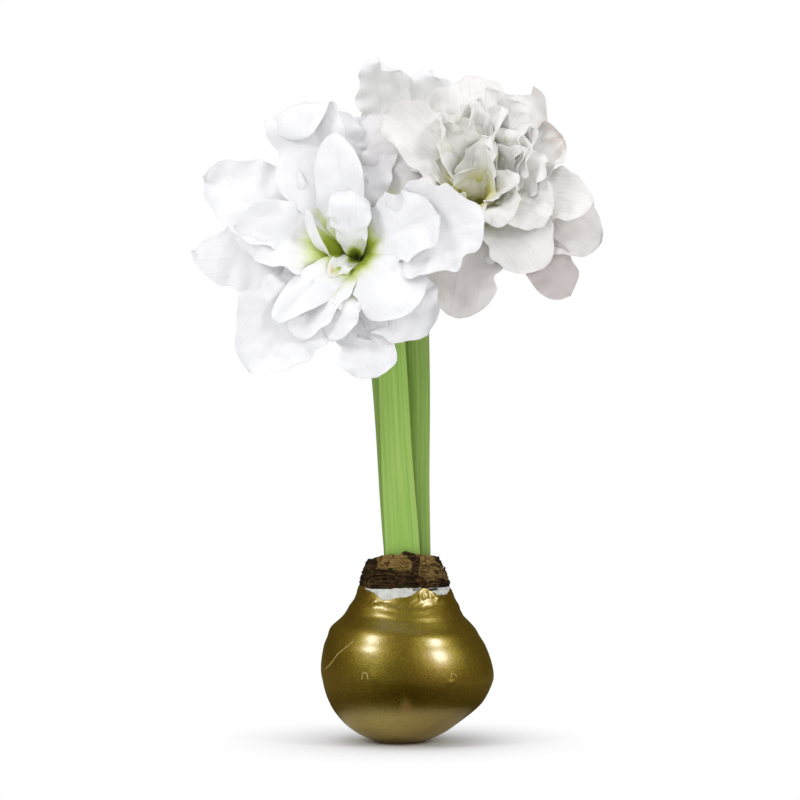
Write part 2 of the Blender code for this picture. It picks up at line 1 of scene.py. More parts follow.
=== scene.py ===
"""Waxed amaryllis: the visible surfaces of a flowering bulb dipped in gold wax, with a floor and soft light.

Metres, +Z up, seen from -Y. Every surface is a grid of points worked out as whole arrays. Angles round the
bulb are counted from the front (-Y) towards +X.
"""

import math
from typing import NamedTuple

import bpy
import numpy as np
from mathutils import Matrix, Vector


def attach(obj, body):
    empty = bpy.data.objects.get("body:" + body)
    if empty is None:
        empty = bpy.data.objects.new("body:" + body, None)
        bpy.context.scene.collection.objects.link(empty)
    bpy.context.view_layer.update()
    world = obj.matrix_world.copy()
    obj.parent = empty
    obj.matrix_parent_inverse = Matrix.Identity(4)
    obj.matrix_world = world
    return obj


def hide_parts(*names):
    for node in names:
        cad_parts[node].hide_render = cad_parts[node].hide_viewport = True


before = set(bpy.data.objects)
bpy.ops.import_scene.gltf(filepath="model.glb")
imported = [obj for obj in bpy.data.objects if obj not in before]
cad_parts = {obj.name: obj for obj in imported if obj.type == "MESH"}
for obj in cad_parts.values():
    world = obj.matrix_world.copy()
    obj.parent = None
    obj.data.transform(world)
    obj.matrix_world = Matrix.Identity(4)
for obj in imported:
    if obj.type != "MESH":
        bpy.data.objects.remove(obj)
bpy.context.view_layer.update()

bl_info = {
    "name": "Waxed Amaryllis",
    "version": (1, 0, 0),
    "blender": (4, 5, 0),
    "location": "View3D > Sidebar > Amaryllis",
    "description": "Builds a flowering amaryllis on a bulb dipped in gold wax",
    "category": "Object",
}


def srgb(red, green, blue):
    """A colour given in 0 to 255 display values, as linear values."""
    values = np.array([red, green, blue]) / 255
    return np.where(values <= 0.04045, values / 12.92, ((values + 0.055) / 1.055) ** 2.4)


# The dipped bulb: (height, radius) from the foot's edge up to the top of the neck
SILHOUETTE = (
    (0.0000, 0.0130),
    (0.0050, 0.0242),
    (0.0118, 0.0335),
    (0.0220, 0.0428),
    (0.0340, 0.0476),
    (0.0440, 0.0476),
    (0.0560, 0.0442),
    (0.0660, 0.0382),
    (0.0740, 0.0316),
    (0.0800, 0.0284),
    (0.0870, 0.0256),
    (0.0930, 0.0238),
    (0.1000, 0.0214),
    (0.1080, 0.0184),
)
# (height, sideways shift) of the bulb's axis, which leans away from the foot
LEAN = (
    (0.000, 0.0000),
    (0.010, 0.0005),
    (0.022, 0.0031),
    (0.035, 0.0042),
    (0.050, 0.0030),
    (0.065, 0.0015),
    (0.080, 0.0028),
    (0.110, 0.0024),
)
# Torn edges round the neck: (degrees from the front, height)
GOLD_EDGE = (
    (-150, 0.0850),
    (-110, 0.0880),
    (-69, 0.0878),
    (-45, 0.0850),
    (-26, 0.0810),
    (-6, 0.0824),
    (8, 0.0836),
    (21, 0.0876),
    (30, 0.0870),
    (42, 0.0838),
    (58, 0.0832),
    (80, 0.0860),
    (120, 0.0840),
    (165, 0.0870),
)
PALE_EDGE = (
    (-150, 0.0880),
    (-110, 0.0870),
    (-69, 0.0870),
    (-42, 0.0884),
    (-26, 0.0890),
    (0, 0.0884),
    (18, 0.0884),
    (30, 0.0872),
    (42, 0.0894),
    (58, 0.0908),
    (80, 0.0880),
    (120, 0.0876),
    (165, 0.0900),
)
DARK_SKIN_EDGE = (
    (-160, 0.0970),
    (-110, 0.1010),
    (-75, 0.1034),
    (-50, 0.1010),
    (-30, 0.0984),
    (0, 0.0990),
    (16, 0.0960),
    (40, 0.0928),
    (60, 0.0922),
    (85, 0.0980),
    (130, 0.0960),
)
LIGHT_SKIN_EDGE = (
    (-170, 0.1030),
    (-110, 0.1020),
    (-70, 0.1026),
    (-40, 0.1054),
    (-10, 0.1064),
    (2, 0.1080),
    (12, 0.1066),
    (45, 0.1056),
    (75, 0.1036),
    (120, 0.1040),
)
# Raised threads on the coat: (degrees from the front, height) along each
WAX_THREADS = (
    ((-69, 0.0420), (-62, 0.0447), (-57, 0.0482), (-53, 0.0517), (-45, 0.0560), (-40, 0.0594)),
    ((-30.8, 0.0388), (-29.8, 0.0425), (-27.0, 0.0425), (-26.2, 0.0390)),
    ((30.3, 0.0398), (31.5, 0.0418), (34.0, 0.0418), (35.0, 0.0396)),
)
THREAD_RADIUS = 0.00026
# Dents and bumps of the coat: (degrees from the front, height, spread in degrees and in height, how far out)
WAX_HUMPS = (
    (58, 0.0630, 16, 0.0060, -0.0010),
    (-52, 0.0655, 14, 0.0050, -0.0006),
    (31, 0.0372, 3.0, 0.0012, 0.0004),
    (-22, 0.0400, 2.5, 0.0040, 0.0003),
)
# Ripples round the coat's shoulder, coarse and fine: (half their height, spacing)
RIPPLE = (0.00068, 0.0125)
FINE_RIPPLE = (0.00007, 0.0042)
# The coat's wall at the neck, what is added to it below, and the level that is moved to the torn edge
WAX_WALL = 0.0012
WAX_WALL_BELOW = 0.0008
COAT_TOP = 0.0840
# The coat's grid: its sides, and its rows at the foot and above
COAT_SIDES = 240
COAT_ROWS = (10, 150)
THREAD_SIDES = 10
# A reddish spot low on the front of the coat: (sideways place, height), and its half-width and half-height
RED_SPOT = (0.0033, 0.0235)
RED_SPOT_REACH = (0.0019, 0.0040)
# Tan patches of the dry skins: (degrees from, to, height from, to, strength)
TAN_PATCHES = (
    (-46, 6, 0.0978, 0.1070, 0.90),
    (20, 66, 0.1005, 0.1090, 0.70),
    (24, 78, 0.0915, 0.1000, 0.36),
    (-70, -48, 0.0860, 0.0900, 0.26),
    (105, 150, 0.0930, 0.1040, 0.75),
    (-150, -112, 0.0955, 0.1040, 0.60),
)
# The bands above the coat: the heights of their feet, their walls and the spacing of the skins' wrinkles
PALE_FOOT = 0.0795
PALE_WALL = 0.0006
SKIN_FOOT = 0.0830
SKIN_WALL = 0.0004
WRINKLE_SPACING = 0.0027
# Rows and sides of a band's wall
BAND_GRID = (48, 320)
# How many radians a random wave shifts by per metre of height, for each unit of its lift
WAVE_SHIFT = 12

# Petals longer than this flare within this length
FLARE_LENGTH = 0.0900
# The claw's share of a petal's width, and the width at its very tip
CLAW_SHARE = 0.12
PETAL_TIP_WIDTH = 0.0016
# How far from the axis a petal starts if its throat opens by the angle below, and the midrib's first lean
PETAL_START_RADIUS = 0.0048
PETAL_START_THROAT = 60
PETAL_START_LEAN = 8
# Rows and columns of a petal's grid: fewer up to the length SHORT_PETAL, and more past it
SHORT_PETAL = 0.0690
SHORT_GRID = (44, 25)
LONG_GRID = (60, 35)
# The funnel that the petals grow from: (radius, height) from its foot up the outside and down the inside
FUNNEL = (
    (0.0054, 0.0000),
    (0.0058, 0.0025),
    (0.0067, 0.0050),
    (0.0084, 0.0090),
    (0.0104, 0.0130),
    (0.0120, 0.0160),
    (0.0124, 0.0174),
    (0.0116, 0.0170),
    (0.0098, 0.0142),
    (0.0070, 0.0100),
    (0.0046, 0.0060),
    (0.0020, 0.0048),
)
FUNNEL_SIDES = 72
# Stems: the height of the neck's section and of the foot, and how high the dome on a stem's top is
STEM_NECK = 0.1070
STEM_FOOT = 0.0730
STEM_DOME = 0.0050
# A stem's sides, and its rows below the dome and on it
STEM_SIDES = 96
STEM_ROWS = (90, 9)
# Painted shade: how bright each stem is against the green setting, darker for the stems in shadow behind
STEM_SHADE_FACTORS = {"front": 0.98, "right": 0.74, "back": 0.66}
# Stalks: how far they head straight up, and straight towards the bloom, as they bend, and their radius
STALK_RISE = 0.0220
STALK_REACH = 0.0160
STALK_STRAIGHT_END = 0.0040
STALK_RADIUS = 0.0040
# Rows and sides of a stalk
STALK_GRID = (48, 60)
# The ovary: how far it swells, and its place along the stalk and its spread as shares of the stalk
OVARY_SWELL = 0.0016
OVARY_PLACE = 0.84
OVARY_SPREAD = 0.20
# The sheath's collar: its height, and how far its outer and inner walls lie off the stem
COLLAR_HEIGHT = 0.0042
COLLAR_GAP = 0.0002
COLLAR_WALLS = ((0.0009,), (0.0003,))
COLLAR_SIDES = 90
# Where the bracts start: how far below the stem's top, and how far off the stem
BRACT_DROP = 0.0020
BRACT_GAP = 0.0007


class Stem(NamedTuple):
    """A flower stem: centres (x, y) and half-axes (x, y) of its oval at the neck and at its top."""

    neck_centre: tuple
    neck_half: tuple
    top_centre: tuple
    top_half: tuple
    top_height: float


class Petal(NamedTuple):
    """A petal, with its azimuth in degrees round the bloom's axis, counted from the bloom's right.

    throat, blade and tip are the angles between the axis and the midrib in the funnel, on the blade and at
    the tip; the last change of angle begins at the share bend of the length. cup is the arc that the blade's
    width bends through, edges towards the face. ruffle is the height of the waves on the edges, and waves is
    their number. twist turns the blade round its midrib and sway bends it sideways. The petal is widest at
    the share widest of its length, and a higher blunt gives it a broader tip. skew widens the side that lies
    counterclockwise of the midrib and narrows the other. The bend at the tip ends at the share settle.
    green is the length over which the throat's colour fades, and shade, worn and pollen are the strengths of
    a painted grey shade for petals that lie in shadow, of browned edges and of a dusting of pollen.
    """

    azimuth: float
    length: float
    width: float
    throat: float
    blade: float
    tip: float
    cup: float
    ruffle: float
    waves: float
    twist: float = 0
    sway: float = 0
    widest: float = 0.62
    blunt: float = 2.2
    bend: float = 0.62
    skew: float = 0
    settle: float = 1.0
    green: float = 0.034
    shade: float = 0
    worn: float = 0
    pollen: float = 0


class Bloom(NamedTuple):
    """A bloom: the foot of its tube, the way that it faces, and its petals from the outer whorl inwards."""

    foot: tuple
    faces: tuple
    petals: tuple


STEMS = {
    "front": Stem((0.0011, -0.0084), (0.0096, 0.0059), (-0.0059, -0.0070), (0.0076, 0.0050), 0.236),
    "right": Stem((0.0104, 0.0032), (0.0066, 0.0050), (0.0094, 0.0030), (0.0070, 0.0052), 0.244),
    "back": Stem((-0.0026, 0.0084), (0.0065, 0.0048), (-0.0115, 0.0120), (0.0072, 0.0052), 0.240),
}

BLOOMS = {
    "front": Bloom(
        (-0.0220, -0.0130, 0.2700),
        (-0.16, -0.97, 0.17),
        (
            Petal(156, 0.104, 0.048, 50, 88, 94, 14, 0.004, 1.7, 8, blunt=1.8, skew=-0.15),
            Petal(179, 0.101, 0.048, 54, 96, 106, 10, 0.004, 2.1, -6, widest=0.55, blunt=1.1, skew=0.30),
            Petal(231, 0.101, 0.051, 50, 86, 90, 22, 0.005, 1.8, -8, 3, widest=0.68, blunt=1.5, skew=-0.10),
            Petal(283, 0.086, 0.034, 50, 90, 98, 14, 0.004, 2.3, 6, widest=0.72, blunt=3.5, skew=-0.15),
            Petal(313, 0.075, 0.044, 50, 84, 96, 20, 0.005, 2.2),
            Petal(9, 0.094, 0.054, 42, 78, 86, 24, 0.006, 2.4, 6, blunt=1.8),
            Petal(57, 0.078, 0.050, 54, 92, 102, 12, 0.003, 2.0, green=0.054, shade=0.25),
            Petal(85, 0.092, 0.040, 54, 101, 108, 12, 0.004, 2.1, -4, shade=0.2),
            Petal(102, 0.094, 0.036, 56, 102, 112, 12, 0.004, 2.1, 4),
            Petal(
                104, 0.120, 0.044, 44, 86, -92, 10, 0.003, 1.6,
                sway=8, widest=0.55, blunt=2.6, bend=0.78, skew=0.30, settle=0.87,
            ),
            Petal(171, 0.080, 0.041, 42, 76, 84, 30, 0.004, 1.6, -10, blunt=1.5, green=0.044),
            Petal(98, 0.084, 0.030, 28, 70, 84, -22, 0.001, 1.2, blunt=1.7, skew=0.10),
            Petal(228, 0.078, 0.023, 30, 72, 88, -20, 0.001, 1.2, blunt=1.5),
            Petal(241, 0.074, 0.028, 36, 78, 84, 24, 0.003, 1.2),
            Petal(262, 0.069, 0.030, 34, 74, 92, 20, 0.004, 1.8, 6, green=0.046),
            Petal(286, 0.068, 0.030, 38, 80, 92, 20, 0.004, 1.8, 6, green=0.046),
            Petal(314, 0.077, 0.043, 26, 66, 84, -28, 0.001, 1.0, skew=0.08),
            Petal(88, 0.062, 0.025, 3, 38, 104, -30, 0.005, 1.7, 14, widest=0.88, blunt=6, green=0.016),
            Petal(212, 0.050, 0.010, 38, 16, -45, 40, 0.0, 1.0, 50, sway=-46, bend=0.5, green=0.010),
            Petal(236, 0.040, 0.012, 12, 40, 52, 20, 0.001, 1.4, green=0.012, pollen=1),
            Petal(16, 0.074, 0.040, 30, 64, 70, 12, 0.004, 1.9, -6, widest=0.68, blunt=2.6, green=0.030),
        ),
    ),
    "right": Bloom(
        (0.0460, -0.0080, 0.2960),
        (-0.10, -0.88, 0.45),
        (
            Petal(98, 0.085, 0.045, 46, 88, 94, 18, 0.004, 1.8),
            Petal(66, 0.078, 0.042, 48, 88, 98, 16, 0.005, 2.1, 6, shade=0.15),
            Petal(30, 0.068, 0.040, 38, 74, 84, 24, 0.004, 1.8, -6, blunt=1.8, worn=0.3),
            Petal(9, 0.058, 0.034, 42, 86, 94, 20, 0.005, 2.6, worn=1),
            Petal(-11, 0.077, 0.034, 46, 88, 92, 20, 0.003, 1.6),
            Petal(-22, 0.083, 0.042, 58, 107, 114, 10, 0.003, 1.9, 4, shade=0.45),
            Petal(-47.5, 0.089, 0.025, 60, 112, 124, 12, 0.003, 1.6, widest=0.80, blunt=4, shade=1.0),
            Petal(-53, 0.073, 0.040, 44, 92, 106, 24, 0.003, 1.6, green=0.036, shade=0.15),
            Petal(-98, 0.084, 0.045, 58, 110, 118, 14, 0.004, 2.0, blunt=1.6, shade=0.55),
            Petal(120, 0.076, 0.048, 58, 102, 110, 24, 0.003, 1.8, 6, green=0.048),
            Petal(141, 0.086, 0.040, 28, 58, 70, 30, 0.004, 1.7, -8, sway=12, skew=-0.20, green=0.042),
            Petal(-92, 0.061, 0.028, 46, 102, 112, 16, 0.004, 1.8, 8, shade=0.2),
            Petal(-28, 0.064, 0.034, 30, 68, 84, 22, 0.004, 2.4, 8, green=0.040),
            Petal(86, 0.074, 0.036, 30, 62, 70, 50, 0.006, 1.9, 8, green=0.060),
            Petal(60, 0.071, 0.034, 28, 58, 66, 40, 0.006, 1.7, -10),
            Petal(152, 0.064, 0.034, 28, 56, 66, 36, 0.006, 1.6, -8),
            Petal(120, 0.066, 0.032, 22, 48, 60, 38, 0.006, 1.4, 24, green=0.054),
            Petal(64, 0.058, 0.028, 10, 26, 22, 60, 0.004, 1.4, -20),
            Petal(8, 0.062, 0.032, 24, 52, 62, 26, 0.005, 1.4, 18),
            Petal(-50, 0.058, 0.030, 22, 50, 60, 40, 0.004, 1.4, 8),
            Petal(-115, 0.052, 0.026, 20, 46, 60, 36, 0.004, 1.4, -12),
            Petal(184, 0.046, 0.026, 22, 48, 60, 40, 0.004, 1.4, 16),
            Petal(102, 0.068, 0.022, 26, 52, 64, 90, 0.004, 1.6, 20, sway=-14),
            Petal(80, 0.067, 0.020, 22, 48, 60, 100, 0.004, 1.5, -24, sway=-10),
            Petal(44, 0.068, 0.024, 24, 54, 64, 42, 0.005, 1.7, 20, sway=10),
            Petal(28, 0.064, 0.026, 26, 54, 66, 32, 0.005, 1.6, -16, sway=12),
            Petal(136, 0.062, 0.024, 20, 42, 56, 60, 0.005, 1.9, -20, sway=-12),
            Petal(40, 0.052, 0.020, 8, 22, 34, 50, 0.004, 1.6, 30, sway=14),
            Petal(-20, 0.054, 0.022, 14, 34, 50, 60, 0.004, 1.8, 24),
            Petal(98, 0.037, 0.034, 4, 16, 44, 40, 0.005, 1.6, 8, widest=0.85, blunt=4, green=0.006),
            Petal(148, 0.070, 0.018, 50, 78, 86, 24, 0.004, 1.6, green=0.090),
            Petal(36, 0.060, 0.036, 20, 44, 56, 20, 0.005, 1.6, 6),
        ),
    ),
    "back": Bloom(
        (0.0040, 0.0260, 0.2920),
        (-0.10, 0.86, 0.48),
        (
            Petal(18, 0.086, 0.044, 46, 86, 98, 16, 0.004, 2.0, 8),
            Petal(79, 0.1025, 0.034, 46, 86, 96, 22, 0.006, 2.0, -8, widest=0.72, blunt=3),
            Petal(136, 0.098, 0.048, 46, 86, 98, 16, 0.004, 2.0, 8),
            Petal(198, 0.090, 0.044, 46, 86, 98, 16, 0.004, 2.0, -8),
            Petal(258, 0.088, 0.046, 46, 86, 98, 16, 0.004, 2.0, 8),
            Petal(318, 0.084, 0.044, 46, 86, 98, 16, 0.004, 2.0, -8),
            Petal(50, 0.076, 0.038, 30, 70, 82, 24, 0.003, 1.8, 8),
            Petal(101, 0.094, 0.034, 44, 82, 92, 22, 0.006, 1.8, -8, widest=0.72, blunt=3),
            Petal(230, 0.076, 0.038, 30, 70, 82, 24, 0.003, 1.8, 8),
            Petal(350, 0.076, 0.038, 30, 70, 82, 24, 0.003, 1.8, -8),
            *(Petal(azimuth, 0.054, 0.026, 14, 36, 40, 50, 0.002, 1.5, 12) for azimuth in (80, 200, 320)),
        ),
    ),
}
# Bracts: where they stand round each stem, and their shape as a petal's
BRACT_AZIMUTHS = {"front": (150, 330), "right": (80, 260), "back": (130, 200)}
BRACT = Petal(0, 0.030, 0.013, 8, 26, 44, 30, 0.0012, 2.3, blunt=1.5)

# The floor's rings of points
FLOOR_RADII = (0.3, 1.0, 3.0, 8.0)
FLOOR_SIDES = 96
# The floor in reflections: near the plant, further out in front or behind, and further out to the sides
FLOOR_NEAR = (0.58, 0.56, 0.43)
FLOOR_BEYOND = (0.030, 0.022, 0.003)
FLOOR_ASIDE = (0.15, 0.12, 0.04)
# Softboxes: name, place, the point that they face, width, height, share of the light setting, and whether
# they show in reflections
SOFTBOXES = (
    ("Left softbox", (-0.96, -0.74, 0.95), (0.0, 0.0, 0.20), 0.40, 0.40, 1.0, True),
    ("Right softbox", (1.06, -0.82, 0.88), (0.02, 0.0, 0.14), 0.36, 0.40, 1.15, True),
    ("Top softbox", (-0.35, -0.30, 1.50), (0.0, 0.0, 0.25), 0.90, 0.90, 0.9, False),
)
# The surroundings: the light that they cast, and how they look in reflections
AIR_LIGHT = (0.635, 0.635, 0.665)
AIR_MIRRORED = (0.080, 0.062, 0.014)
# The camera, level in front of the plant, which takes in 450 mm across at the stems
CAMERA_LENS = 128
CAMERA_SENSOR = 36
CAMERA_DISTANCE = 1.6
CAMERA_HEIGHT = 0.192


# Sizes and colours that a user would change


def colour_property(name, description, colour):
    """A colour setting, with its default as linear values."""
    default = tuple(colour)
    return bpy.props.FloatVectorProperty(name=name, description=description, subtype="COLOR", default=default)


class AMARYLLIS_PG_petals(bpy.types.PropertyGroup):
    thickness: bpy.props.FloatProperty(
        name="Thickness", description="Thickness of a petal along its midrib", default=0.0008, unit="LENGTH"
    )
    crinkle: bpy.props.FloatProperty(
        name="Crinkle", description="Height of the fine waves, against that of the ruffles", default=0.8
    )
    white: colour_property("White", "Colour of the front and back blooms", srgb(249, 249, 249))
    # Shaded white is a painted shade: a greyer white for the whole right bloom, standing in for the shadow it
    # lies in
    shaded: colour_property("Shaded white", "Colour of the right bloom", srgb(246, 244, 239))
    green: colour_property("Throat green", "Colour deep in the front throat", srgb(172, 190, 48))
    # Pale throat is partly the throat's own colour and partly painted light, made paler to lift the shade
    # deep in the hollows
    cream: colour_property("Pale throat", "Colour deep in the other throats", srgb(230, 228, 140))


class AMARYLLIS_PG_wax(bpy.types.PropertyGroup):
    gold: colour_property("Gold", "Colour of the metallic wax", srgb(202, 185, 68))
    roughness: bpy.props.FloatProperty(
        name="Roughness", description="Roughness of the gold", default=0.39, subtype="FACTOR"
    )
    pale: colour_property("Bare wax", "Colour of the wax without gold", srgb(222, 222, 214))


class AMARYLLIS_PG_skin(bpy.types.PropertyGroup):
    dark: colour_property("Dark skin", "Darkest colour of the dry skins", srgb(27, 14, 8))
    light: colour_property("Light skin", "Colour of the papery tan parts", srgb(142, 116, 62))


class AMARYLLIS_PG_stems(bpy.types.PropertyGroup):
    green: colour_property("Green", "Colour of the stems", srgb(158, 196, 92))
    ribs: bpy.props.FloatProperty(
        name="Ribs", description="Height of the lengthwise ribs", default=0.00012, unit="LENGTH"
    )


class AMARYLLIS_PG_stage(bpy.types.PropertyGroup):
    floor: colour_property("Floor", "Colour of the floor", (0.95, 0.95, 0.95))
    light: bpy.props.FloatProperty(
        name="Light", description="Power of the softbox on the left", default=4.2, unit="POWER"
    )


# Arrays and meshes


def smooth_step(value, start, end):
    """Rises from 0 at start to 1 at end along a cubic with level ends."""
    share = np.clip((value - start) / (end - start), 0, 1)
    return share * share * (3 - 2 * share)


def between(value, rise, top, fall, end):
    """Rises from 0 at rise to 1 at top, and falls back from 1 at fall to 0 at end."""
    return smooth_step(value, rise, top) * (1 - smooth_step(value, fall, end))


def full_turn(count):
    """Evenly spaced angles all the way round."""
    return np.linspace(0, 2 * math.pi, count, endpoint=False)


def waves_of(seed, count, low, high):
    """Frequencies, phases and weights of a set of random waves whose weight falls as their number rises."""
    chance = np.random.default_rng(seed)
    number = chance.uniform(low, high, count)
    return number, chance.uniform(0, 2 * math.pi, count), (low / number) ** 0.7


def rough(seed, angle, height, low=2, high=30, count=14, lift=90):
    """Random waves round an axis: whole numbers of waves per turn, each of which slopes as it goes up."""
    number, phase, weight = waves_of(seed, count, low, high)
    slope = np.random.default_rng(seed + 1).uniform(-lift, lift, count)
    angle, height = np.broadcast_arrays(angle, height)
    total = np.zeros(angle.shape)
    for turns, start, size, tilt in zip(np.round(number), phase, weight, slope):
        total += size * np.sin(turns * angle + start + tilt * WAVE_SHIFT * height)
    return total / weight.sum()


def torn(edge, angle, seed, reach):
    """The height of a torn edge: straight runs between the table's heights, roughened by random waves."""
    degrees, heights = np.array(edge).T
    level = np.interp(np.degrees(angle), degrees, heights, period=360)
    return level + reach * rough(seed, angle, 0.0, 5, 70, 26)


def grid_quads(rows, columns, wrap=False):
    """Quads between neighbouring rows and columns of points numbered row by row; wrap closes each row."""
    row = np.arange(rows - 1)[:, None]
    column = np.arange(columns if wrap else columns - 1)[None, :]
    after = (column + 1) % columns
    low, high = row * columns, (row + 1) * columns
    return np.stack([low + column, low + after, high + after, high + column], axis=-1).reshape(-1, 4)


def rings_mesh(rings, closed=False):
    """Points and faces of rings joined one to the next, and closed by a fan at each end or as a loop."""
    rows, columns = rings.shape[:2]
    points = rings.reshape(-1, 3)
    if closed:
        quads = grid_quads(rows + 1, columns, wrap=True) % (rows * columns)
        return points, quads.tolist()
    quads = grid_quads(rows, columns, wrap=True)
    centres = np.array([rings[0].mean(axis=0), rings[-1].mean(axis=0)])
    at = np.arange(columns)
    after = (at + 1) % columns
    first = np.stack([after, at, np.full(columns, rows * columns)], axis=1)
    last = np.stack([at, after, np.full(columns, rows * columns + 1)], axis=1)
    last[:, :2] += (rows - 1) * columns
    return np.vstack([points, centres]), quads.tolist() + first.tolist() + last.tolist()


def sheet_mesh(middle, normals, thickness):
    """Points and faces of a closed sheet: a grid moved half its thickness to each side, joined by a rim."""
    rows, columns = middle.shape[:2]
    half = (normals * thickness[..., None] / 2).reshape(-1, 3)
    points = middle.reshape(-1, 3)
    count = rows * columns
    top = grid_quads(rows, columns)
    index = np.arange(count).reshape(rows, columns)
    loop = np.concatenate([index[0, :-1], index[:-1, -1], index[-1, :0:-1], index[:0:-1, 0]])
    after = np.roll(loop, -1)
    rim = np.stack([after, loop, loop + count, after + count], axis=1)
    faces = np.vstack([top, top[:, ::-1] + count, rim])
    return np.vstack([points + half, points - half]), faces.tolist()


def unit(vectors):
    """The vectors at length 1."""
    return vectors / np.maximum(np.linalg.norm(vectors, axis=-1, keepdims=True), 1e-12)


def grid_normals(middle):
    """Unit normals of a grid of points: the cross product of its two directions."""
    return unit(np.cross(np.gradient(middle, axis=1), np.gradient(middle, axis=0)))


def tube_mesh(path, aside, angle, reach):
    """A tube: rings square to a path, with points at the given angles and reach away from it.

    Angle 0 points square to both the path and the direction aside.
    """
    forward = unit(np.gradient(path, axis=0))
    across = unit(np.cross(aside, forward))
    third = np.cross(forward, across)
    ring = np.cos(angle)[:, None] * across[:, None] + np.sin(angle)[:, None] * third[:, None]
    return rings_mesh(path[:, None] + reach[..., None] * ring)


def join_meshes(parts):
    """Several (points, faces, values by name) as one, with the faces renumbered."""
    points, faces, start = [], [], 0
    for part_points, part_faces, _ in parts:
        points.append(part_points)
        faces.extend([[corner + start for corner in face] for face in part_faces])
        start += len(part_points)
    values = {name: np.concatenate([values[name] for _, _, values in parts]) for name in parts[0][2]}
    return np.vstack(points), faces, values


def add_piece(name, points, faces, values, material, node):
    """A shown piece: its mesh, its values as attributes and UV map, its material and what it replaces."""
    mesh = bpy.data.meshes.new(name)
    mesh.from_pydata(points.tolist(), [], faces)
    mesh.polygons.foreach_set("use_smooth", np.ones(len(faces), dtype=bool))
    corners = np.empty(len(mesh.loops), dtype=np.int32)
    mesh.loops.foreach_get("vertex_index", corners)
    if "uv" in values:
        layer = mesh.uv_layers.new(name="surface")
        layer.data.foreach_set("uv", values["uv"][corners].astype(np.float32).ravel())
    for label in sorted(values.keys() - {"uv"}):
        attribute = mesh.attributes.new(label, "FLOAT", "POINT")
        attribute.data.foreach_set("value", values[label].astype(np.float32))
    mesh.materials.append(material)
    mesh.update()
    piece = bpy.data.objects.new(name, mesh)
    bpy.context.scene.collection.objects.link(piece)
    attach(piece, "root")
    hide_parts(node)


# Shader nodes


def add_node(tree, kind, inputs=None, **settings):
    """A node with its settings, and its inputs set to values or linked to other nodes' outputs."""
    node = tree.nodes.new(kind)
    for name, value in settings.items():
        setattr(node, name, value)
    for name, value in (inputs or {}).items():
        if isinstance(value, bpy.types.NodeSocket):
            tree.links.new(value, node.inputs[name])
        else:
            node.inputs[name].default_value = value
    return node


def mix_colours(tree, share, first, second, blend="MIX"):
    """The output of a colour mix. The colours are values or sockets."""
    node = tree.nodes.new("ShaderNodeMix")
    node.data_type = "RGBA"
    node.blend_type = blend
    for index, value in ((0, share), (6, first), (7, second)):
        if isinstance(value, bpy.types.NodeSocket):
            tree.links.new(value, node.inputs[index])
        elif index:
            node.inputs[index].default_value = (*value, 1)
        else:
            node.inputs[index].default_value = value
    return node.outputs[2]


def ramp(tree, value, stops):
    """The output of a colour ramp with stops of (position, colour), or (position, grey)."""
    node = add_node(tree, "ShaderNodeValToRGB", {"Fac": value})
    elements = node.color_ramp.elements
    while len(elements) < len(stops):
        elements.new(0.5)
    for element, (position, colour) in zip(elements, stops):
        element.position = position
        element.color = (*np.broadcast_to(colour, 3), 1)
    return node.outputs["Color"]


def math_node(tree, operation, *values):
    """The output of a math node. Its values are numbers or sockets."""
    return add_node(tree, "ShaderNodeMath", dict(enumerate(values)), operation=operation).outputs[0]


def rescale(tree, value, start, end, low=0.0, high=1.0, curve="LINEAR"):
    """A value's range from start to end taken to the range from low to high, and held at its ends."""
    inputs = {"Value": value, "From Min": start, "From Max": end, "To Min": low, "To Max": high}
    return add_node(tree, "ShaderNodeMapRange", inputs, interpolation_type=curve).outputs["Result"]


def new_material(name, **values):
    """A material whose Principled shader has the named sockets set, its node tree and that shader."""
    material = bpy.data.materials.new(name)
    material.use_nodes = True
    shader = material.node_tree.nodes["Principled BSDF"]
    for socket, value in values.items():
        shader.inputs[socket.replace("_", " ")].default_value = value
    return material, material.node_tree, shader


def new_group(name, inputs):
    """A node group with a vector and the given number inputs, their sockets, and that of its output mask."""
    group = bpy.data.node_groups.new(name, "ShaderNodeTree")
    group.interface.new_socket("Vector", in_out="INPUT", socket_type="NodeSocketVector")
    for label, default in inputs.items():
        socket = group.interface.new_socket(label, in_out="INPUT", socket_type="NodeSocketFloat")
        socket.default_value = default
    group.interface.new_socket("Mask", in_out="OUTPUT", socket_type="NodeSocketFloat")
    given = group.nodes.new("NodeGroupInput").outputs
    return group, given, group.nodes.new("NodeGroupOutput").inputs["Mask"]


def noise_node(tree, **inputs):
    """The output of a noise texture."""
    return add_node(tree, "ShaderNodeTexNoise", inputs).outputs["Fac"]


def streaks_group():
    """Streaks that run along the second coordinate: a noise stretched by its two scales, and bent."""
    group, given, mask = new_group("Streaks", {"Across": 6.0, "Along": 0.8, "Detail": 3.0, "Bend": 0.0})
    spread = add_node(group, "ShaderNodeCombineXYZ", {0: given["Across"], 1: given["Along"]}).outputs[0]
    scaled = add_node(group, "ShaderNodeVectorMath", {0: given["Vector"], 1: spread}, operation="MULTIPLY")
    place, detail, bend = scaled.outputs[0], given["Detail"], given["Bend"]
    noise = noise_node(group, Vector=place, Scale=1.0, Detail=detail, Roughness=0.55, Distortion=bend)
    group.links.new(noise, mask)
    return group


def blotches_group():
    """Soft blotches with sharpened edges: a noise taken through a narrow range."""
    group, given, mask = new_group("Blotches", {"Scale": 60.0, "From": 0.45, "To": 0.60})
    noise = noise_node(group, Vector=given["Vector"], Scale=given["Scale"], Detail=6.0, Roughness=0.6)
    group.links.new(rescale(group, noise, given["From"], given["To"]), mask)
    return group


def grain_group():
    """Fine grain: a noise and a cell pattern of the same scale, added."""
    group, given, mask = new_group("Grain", {"Scale": 2000.0})
    same = {"Vector": given["Vector"], "Scale": given["Scale"]}
    cells = add_node(group, "ShaderNodeTexVoronoi", same).outputs["Distance"]
    group.links.new(math_node(group, "MULTIPLY_ADD", cells, 0.5, noise_node(group, **same, Detail=2.0)), mask)
    return group


